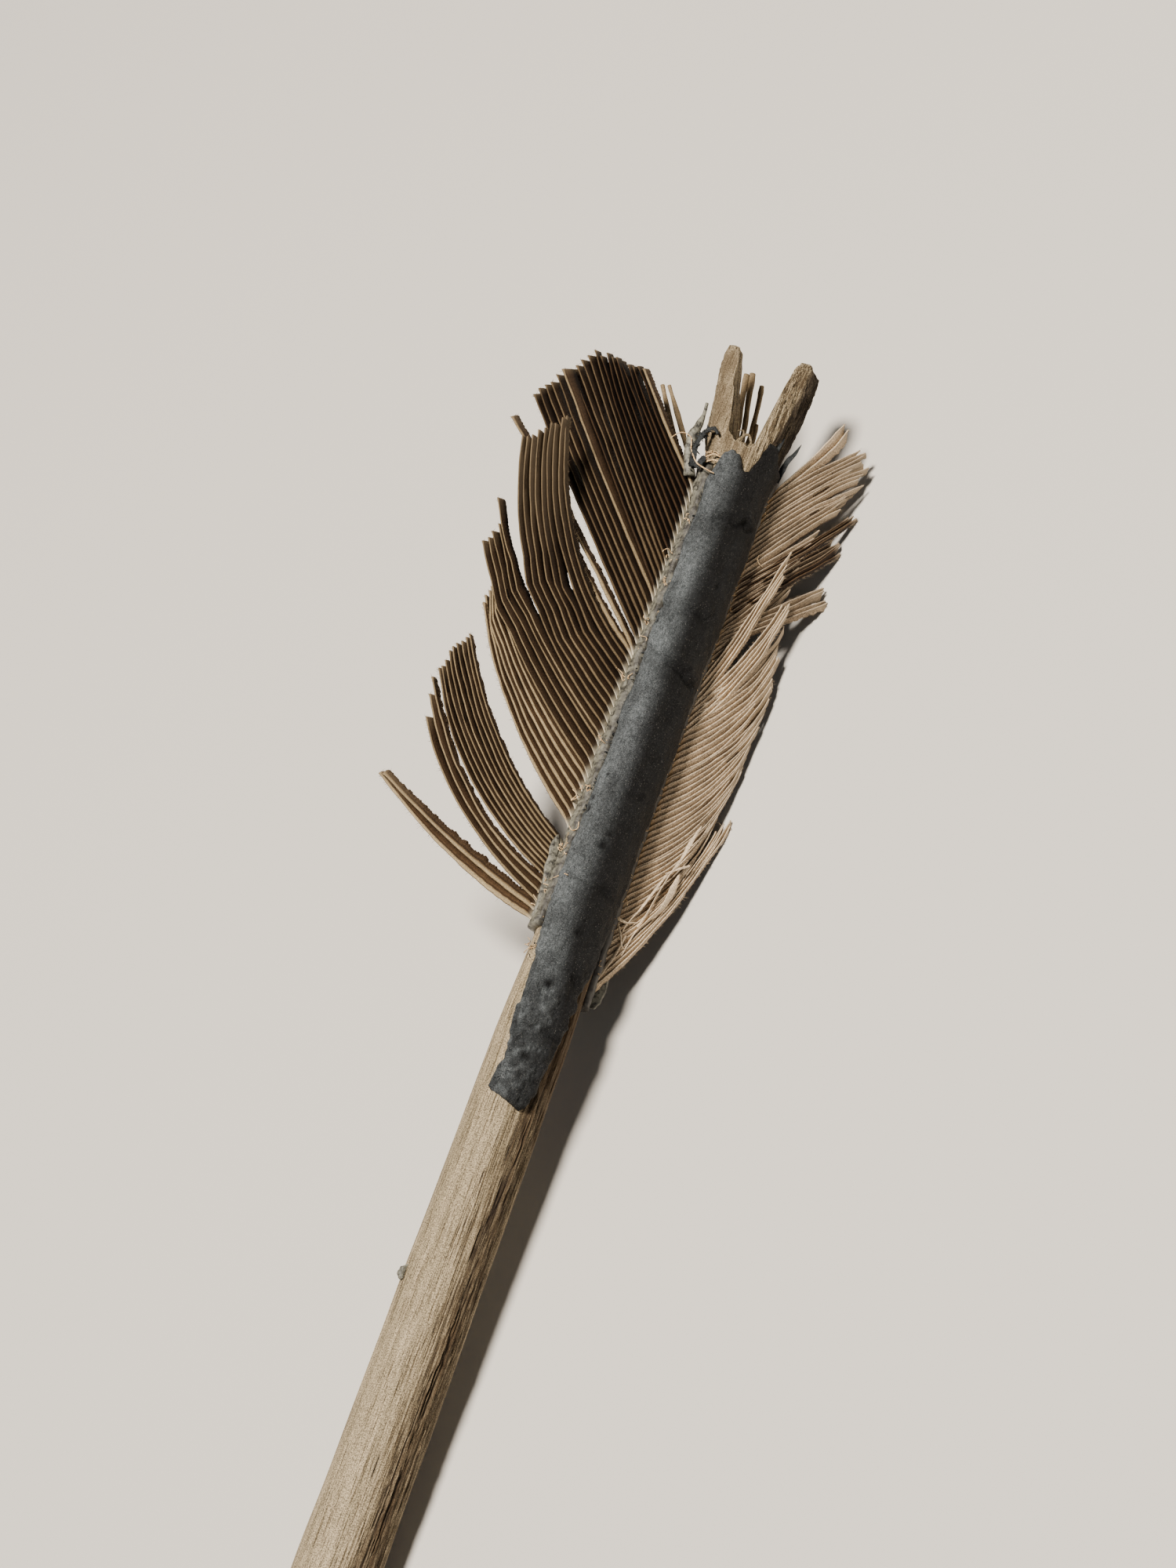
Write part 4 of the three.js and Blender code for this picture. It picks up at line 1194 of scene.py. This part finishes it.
def quill_strip(quill):
    """A ragged strip of horn under the roots of one vane, more or less darkened by pitch, and under the
    pitch's right edge by painted shade too.
    """
    mesh = slab(quill.feather.name + "_quill", 26, 300)
    x, y, z = corners_of(mesh).astype(float).T
    first, last = quill.feather.quill
    along = first + y * (last - first)
    ragged = 2.5 * noise(along * 0.8, 50 + 40 * np.rint(x)) + 1.5 * noise(along * 2.6, 70 + 40 * np.rint(x))
    turn = quill.low + x * (quill.high - quill.low) + ragged * np.abs(2 * x - 1) ** 4
    edge = np.sqrt(np.clip(1 - np.abs(2 * x - 1) ** 3, 0, 1))
    lumps = 0.10 * noise(along * 1.1, turn * 0.12) + 0.07 * noise(along * 3.3, turn * 0.4)
    out = 0.15 + edge * (quill.out - 0.15 + lumps)
    reach = wood_reach(along, turn) + np.where(z > 0.5, out, -0.1)
    set_corners(mesh, on_arrow(along, turn, reach))
    near_pitch = smooth(turn, -70, -61) * (quill.feather is LEFT)
    speckled = near_pitch * (0.7 + 0.5 * noise(along * 2.4, turn * 0.5))
    paint(mesh, "pitchy", np.clip(quill.pitchy + 0.7 * speckled, 0, 1))
    face_out(mesh)
    piece(mesh.name, mesh, horn, "vane")


for quill in QUILLS:
    quill_strip(quill)

# %% [markdown]
# ## Threads, scraps and folds
#
# Ends of the binding thread curl out of the pitch, scraps of pitch and horn stand on its edges, and
# the lower edge of the right vane is crumpled into thin folds. Each of them is a ribbon laid along a
# curve through a few places, given as millimetres along, to the right, and towards the viewer.

# %% Ribbons along a curve
Strand = namedtuple("Strand", "points wide thick twist")


def facing(along, aside, toward):
    """Places in the frame, in metres, from millimetres along, to the right and towards the viewer."""
    return on_arrow(along, -90, -np.asarray(aside), toward)


def through(points, rows):
    """A smooth curve through all the points."""
    points = np.array(points, float)
    held = np.concatenate([[2 * points[0] - points[1]], points, [2 * points[-1] - points[-2]]])
    knots = np.linspace(0, len(points) - 1, rows + 1)
    part = np.minimum(knots.astype(int), len(points) - 2)
    share = (knots - part)[:, None]
    a, b, c, d = (held[part + i] for i in range(4))
    bend = (2 * a - 5 * b + 4 * c - d) * share**2 + (3 * b - a - 3 * c + d) * share**3
    return 0.5 * (2 * b + (c - a) * share + bend)


def ribbons(name, strands, material, slot, rows=20, sides=6, painted=None):
    """Lays each strand as a flat or round ribbon that may taper and twist."""
    laid = []
    for strand in strands:
        middle = through(strand.points, rows)
        share = np.linspace(0, 1, rows + 1)
        tangent = np.gradient(middle, axis=0)
        tangent /= np.linalg.norm(tangent, axis=1, keepdims=True) + 1e-9
        flat = np.cross(tangent, (0.05, 0.1, 1))
        flat /= np.linalg.norm(flat, axis=1, keepdims=True)
        up = np.cross(flat, tangent)
        spin = np.radians(strand.twist) * share[:, None]
        flat, up = flat * np.cos(spin) + up * np.sin(spin), up * np.cos(spin) - flat * np.sin(spin)
        wide = np.interp(share, np.linspace(0, 1, len(strand.wide)), strand.wide)
        wide = wide * (1 + 0.25 * noise(share * 9, middle[0, 0]))
        round_it = np.arange(sides) / sides * math.tau
        ring = middle[:, None] + (flat * wide[:, None])[:, None] * np.cos(round_it)[:, None]
        ring = ring + (up * np.minimum(strand.thick, wide)[:, None])[:, None] * np.sin(round_it)[:, None]
        laid.append(facing(ring[..., 0], ring[..., 1], ring[..., 2]))
    places = off_floor(np.array(laid))
    same = np.ones(places.shape[:3])
    mesh = laid_tubes(name, places, {key: value * same for key, value in (painted or {}).items()})
    piece(name, mesh, material, slot)


# %% [markdown]
# The thread is old linen. Its fibres have an IOR near 1.53, but their fuzz scatters the light, so it
# looks quite matt: a roughness of 0.85.

# %% The thread's material, and its loops and tufts
linen, tree, shader, place = new_material("old_linen_thread")
spun = add(tree, "TexNoise", {"Vector": place, "Scale": 1 / (0.12 * MM), "Detail": 2.0}).outputs["Fac"]
lit = add(tree, "MapRange", {"Value": spun, "From Min": 0.35, "From Max": 0.65}).outputs[0]
fibrous = add(tree, "Mix", {"Factor": lit, A: linear("#8a6742"), B: linear("#d8bf96")}, **COLOURS)
tree.links.new(fibrous.outputs[MIXED], shader.inputs["Base Color"])
shader.inputs["Roughness"].default_value = 0.85

THREADS = [
    Strand([(118.1, -7, 1.2), (118.7, -6.5, 1.5), (118.8, -5.9, 1.8), (118.4, -5.2, 2),
            (117.4, -4.9, 2), (116.2, -4.1, 2.3), (115.8, -3.3, 2.5), (115.5, -2.2, 2.75)],
           [0.05, 0.08, 0.07], 0.06, 0),
    Strand([(72.6, -3.9, 0.6), (73.4, -3.6, 0.9), (73.9, -3.3, 1.2), (74.4, -2.4, 2.3),
            (74.3, -2, 2.7)], [0.06, 0.05], 0.05, 0),
    Strand([(71.4, -4.4, 0.6), (71.3, -3.8, 1), (71, -3.5, 0.9), (70.3, -3.1, 1.2),
            (70.3, -2.7, 1.7)], [0.07, 0.05], 0.05, 0),
    Strand([(72.2, -4.2, 0.8), (71.7, -3.6, 1.2), (72.3, -3.2, 1.2), (72.8, -3.5, 1.4)],
           [0.05, 0.04], 0.04, 0),
    Strand([(79.3, -3.4, 1), (78.8, -3, 1.5), (79, -2.6, 1.9), (79.6, -2.7, 1.9)],
           [0.05, 0.05], 0.05, 0),
    Strand([(82.7, -4.2, 0.8), (82.2, -3.7, 1.2), (81.6, -4, 1), (82, -3.4, 1.5)],
           [0.05, 0.05], 0.05, 0),
    Strand([(111, 4.2, -0.6), (110.5, 4.2, -0.5), (110.2, 4.5, -0.6), (110.1, 4.9, -0.8)],
           [0.04, 0.03], 0.03, 0),
    Strand([(117.2, -3.4, 1.9), (117.6, -2.8, 2.2), (117.5, -2.1, 2.3)], [0.09, 0.09], 0.07, 0),
    Strand([(116.7, -3.3, 2), (117, -2.6, 2.3), (116.9, -1.9, 2.4)], [0.09, 0.09], 0.07, 0),
]  # fmt: skip
KNOTS = [118.2, 111.0, 106.9, 104.4, 100.1, 97.4, 94.2, 87.5, 82.9, 77.0, 73.5, 67.3]
random = np.random.default_rng(31)
for knot in KNOTS:
    for _ in range(4):
        walk = np.cumsum(random.normal(0, 0.22, (5, 3)), 0)
        THREADS.append(Strand(walk + (knot, -3.15, 1.35), [0.05, 0.035], 0.04, 0))
for _ in range(90):
    start = np.array([random.uniform(64, 118), 3.2, 0.3]) + random.normal(0, 0.12, 3)
    walk = np.cumsum(random.normal(0, 0.11, (4, 3)), 0)
    THREADS.append(Strand(start + walk, [0.03, 0.02], 0.025, 0))
ribbons("thread_ends", THREADS, linen, "vane", rows=16, sides=5)

# %% Scraps of pitch and splinters of wood
PITCH_SIDE = 3.05
SCRAPS = [
    Strand([(115.9, -4.3, 1.7), (117.4, -4.6, 1.9), (118.7, -4.5, 2.1), (119.6, -4.1, 2.4),
            (119.9, -3.5, 2.5), (119.5, -3.1, 2.5)], [0.5, 0.42, 0.32, 0.34, 0.26], 0.3, 30),
    Strand([(115.9, -3.9, 1.8), (116.5, -3.7, 2.1), (117, -3.5, 2.1)], [0.45, 0.55, 0.4], 0.25, 0),
    Strand([(118, 3.4, 0.4), (120.1, 3.7, 0.8), (121.1, 4.1, 0.8), (122.4, 4.4, 0.6)],
           [0.5, 0.55, 0.35, 0.03], 0.08, 25),
    Strand([(119.2, 2.3, 1.9), (120.3, 2.45, 1.75), (121.2, 2.6, 1.55), (121.9, 2.7, 1.4)],
           [0.45, 0.42, 0.3, 0.12], 0.4, 0),
]  # fmt: skip
for _ in range(150):
    at, around = random.uniform(66, 118), math.radians(random.normal(-57, 4))
    beside = [at, PITCH_SIDE * math.sin(around), PITCH_SIDE * math.cos(around)]
    centre = np.array(beside) + random.normal(0, 0.06, 3)
    heading = random.normal(0, 0.10, 3)
    size = random.uniform(0.04, 0.13)
    SCRAPS.append(Strand([centre - heading, centre, centre + heading], [0.02, size, 0.02], size * 0.7, 0))
spine = through(SCRAPS[0].points[:4], 20)
for _ in range(60):
    centre = random.choice(spine) + random.normal(0, 0.14, 3)
    heading = random.normal(0, 0.16, 3)
    size = random.uniform(0.06, 0.2)
    SCRAPS.append(Strand([centre - heading, centre, centre + heading], [0.04, size, 0.04], size * 0.8, 0))
ribbons("scraps_of_pitch", SCRAPS, pitch, "pitch", rows=10, sides=6, painted={"pit": 0.2, "dust_and_light": 0.3})

SPLINTERS = [
    Strand([(119, -1.6, 0.9), (120.2, -1.1, 1.5), (121, -0.5, 1.5), (120.5, 0, 1.1),
            (119.9, -0.2, 0.9)], [0.12, 0.16, 0.14, 0.05], 0.04, 70),
    Strand([(119, -1.2, 0.6), (120.6, -0.9, 0.9), (121.4, -1, 1.1), (121.2, -1.5, 1.2)],
           [0.1, 0.12, 0.04], 0.04, -60),
    Strand([(118.8, 0.2, 0.5), (120.2, 0.3, 1), (121.3, 0.9, 1.2)], [0.14, 0.16, 0.04], 0.05, 50),
    Strand([(78.6, -3.2, 1.2), (76.4, -2.9, 1.4), (74.2, -2.6, 1.5), (72.4, -2.6, 1.5)],
           [0.12, 0.16, 0.14, 0.06], 0.12, 0),
]  # fmt: skip
ribbons("splinters", SPLINTERS, wood, "wood", rows=24, sides=7, painted={"painted_shade": 0.0, "stain_and_shade": 0.35})

# %% The crumpled lower edge of the right vane
FOLDS = [
    Strand([(84.5, 7.6, -1.2), (82.6, 7.2, -0.9), (80.8, 6.9, -0.9), (79.1, 6.4, -0.9),
            (76.9, 6, -1), (74.8, 5.7, -1.1), (73.4, 5.3, -1.1)],
           [0.05, 0.25, 0.18, 0.26, 0.2, 0.1], 0.05, 160),
    Strand([(80.6, 7.8, -1.3), (79.7, 6.9, -0.8), (79, 6, -1)], [0.1, 0.14, 0.06], 0.05, 60),
    Strand([(79.6, 7.2, -1.4), (78, 7.1, -1.2), (76, 6.8, -1.2), (74.4, 6, -1.2), (72.7, 5.2, -1.1),
            (70.4, 4.8, -1.1)], [0.1, 0.3, 0.32, 0.26, 0.22, 0.08], 0.05, -120),
    Strand([(79, 6.2, -0.9), (77, 5.6, -0.8), (75, 5, -0.7), (73.4, 4.4, -0.6), (72.4, 4.2, -0.6)],
           [0.08, 0.16, 0.14, 0.12], 0.04, 110),
    Strand([(73.2, 3, 0.1), (73.1, 3.7, 0), (73.2, 4.3, -0.4), (73.7, 5, -0.9)],
           [0.12, 0.14, 0.12, 0.04], 0.05, 90),
    Strand([(72.8, 3.6, -0.2), (71.8, 4.2, -0.5), (71.1, 4.6, -0.8), (71.1, 5, -1.1)],
           [0.06, 0.12, 0.14, 0.05], 0.05, 140),
    Strand([(72.2, 4.6, -0.8), (70, 4.2, -0.8), (68, 3.6, -0.6), (66.4, 3.2, -0.4)],
           [0.06, 0.2, 0.24, 0.1], 0.05, 40),
]  # fmt: skip
ribbons(
    "crumpled_folds", FOLDS, pale_vane, "vane", rows=40, sides=8,
    painted={"across": 0.1, "tone": 0.0, "tip": 0.5, "root": 0.0, "run": 0.0},
)  # fmt: skip
BEHIND = [
    Strand([(116.6, -4, -3), (120, -6.2, -3.8), (123, -8, -4), (125.6, -9.5, -4)],
           [0.25, 0.3, 0.28, 0.2], 0.2, 30),
    Strand([(117, -3.7, -3), (120.8, -5.7, -3.8), (123.4, -7.3, -4), (125.8, -8.9, -4)],
           [0.25, 0.28, 0.26, 0.16], 0.2, 10),
    Strand([(116, -4.3, -3), (119.2, -6, -3.8), (121.4, -7.5, -4), (123.6, -9, -4)],
           [0.2, 0.28, 0.26, 0.2], 0.2, -20),
    Strand([(119, -1.0, -3), (124, -1.5, -4.4), (127.6, -2.1, -5), (130.2, -2.5, -5)],
           [0.34, 0.34, 0.34, 0.32], 0.26, 20),
    Strand([(119, -0.6, -3), (124, -0.9, -4.4), (127.6, -1.5, -5), (130.5, -2, -5)],
           [0.3, 0.32, 0.32, 0.3], 0.26, 0),
    Strand([(119, 0.1, -3), (124, -0.2, -4.4), (127.6, -0.5, -5), (129.6, -0.8, -5)],
           [0.3, 0.3, 0.28, 0.24], 0.22, -30),
    Strand([(119, 0.4, -3), (123, 0.2, -4.2), (125.4, 0, -4.6)], [0.3, 0.3, 0.2], 0.2, 10),
]  # fmt: skip
ribbons(
    "barbs_behind_nock", BEHIND, back_vane, "vane", rows=40, sides=8,
    painted={"across": 0.4, "tone": 0.4, "tip": 0.4, "root": 0.0, "run": 0.0},
)  # fmt: skip
FLAPS = [
    Strand([(115.2, -4.2, 1.2), (117, -4.9, 1.4), (118.8, -5.1, 1.5), (120.2, -5, 1.4),
            (121.4, -4.9, 1.3), (122.7, -5, 1.2)], [0.5, 0.6, 0.62, 0.4, 0.16, 0.14], 0.4, 20),
    Strand([(36, -3.3, 1.2), (36.4, -3.5, 1.1), (36.9, -3.45, 1.1), (37.4, -3.2, 1.1)],
           [0.2, 0.32, 0.3, 0.1], 0.3, 0),
    Strand([(68.9, 4.2, -1.3), (67.4, 4.1, -1.2), (66, 4, -1.2), (65, 4, -1.3)],
           [0.1, 0.45, 0.6, 0.2], 0.06, 15),
    Strand([(70.2, -3.6, 0.9), (72, -3.3, 1.2), (74.4, -3.5, 1.1), (76.8, -3.9, 1),
            (78.2, -4, 0.9)], [0.15, 0.6, 0.55, 0.5, 0.1], 0.07, 12),
]  # fmt: skip
ribbons("horn_flaps", FLAPS, horn, "vane", rows=40, sides=8, painted={"pitchy": 0.0})
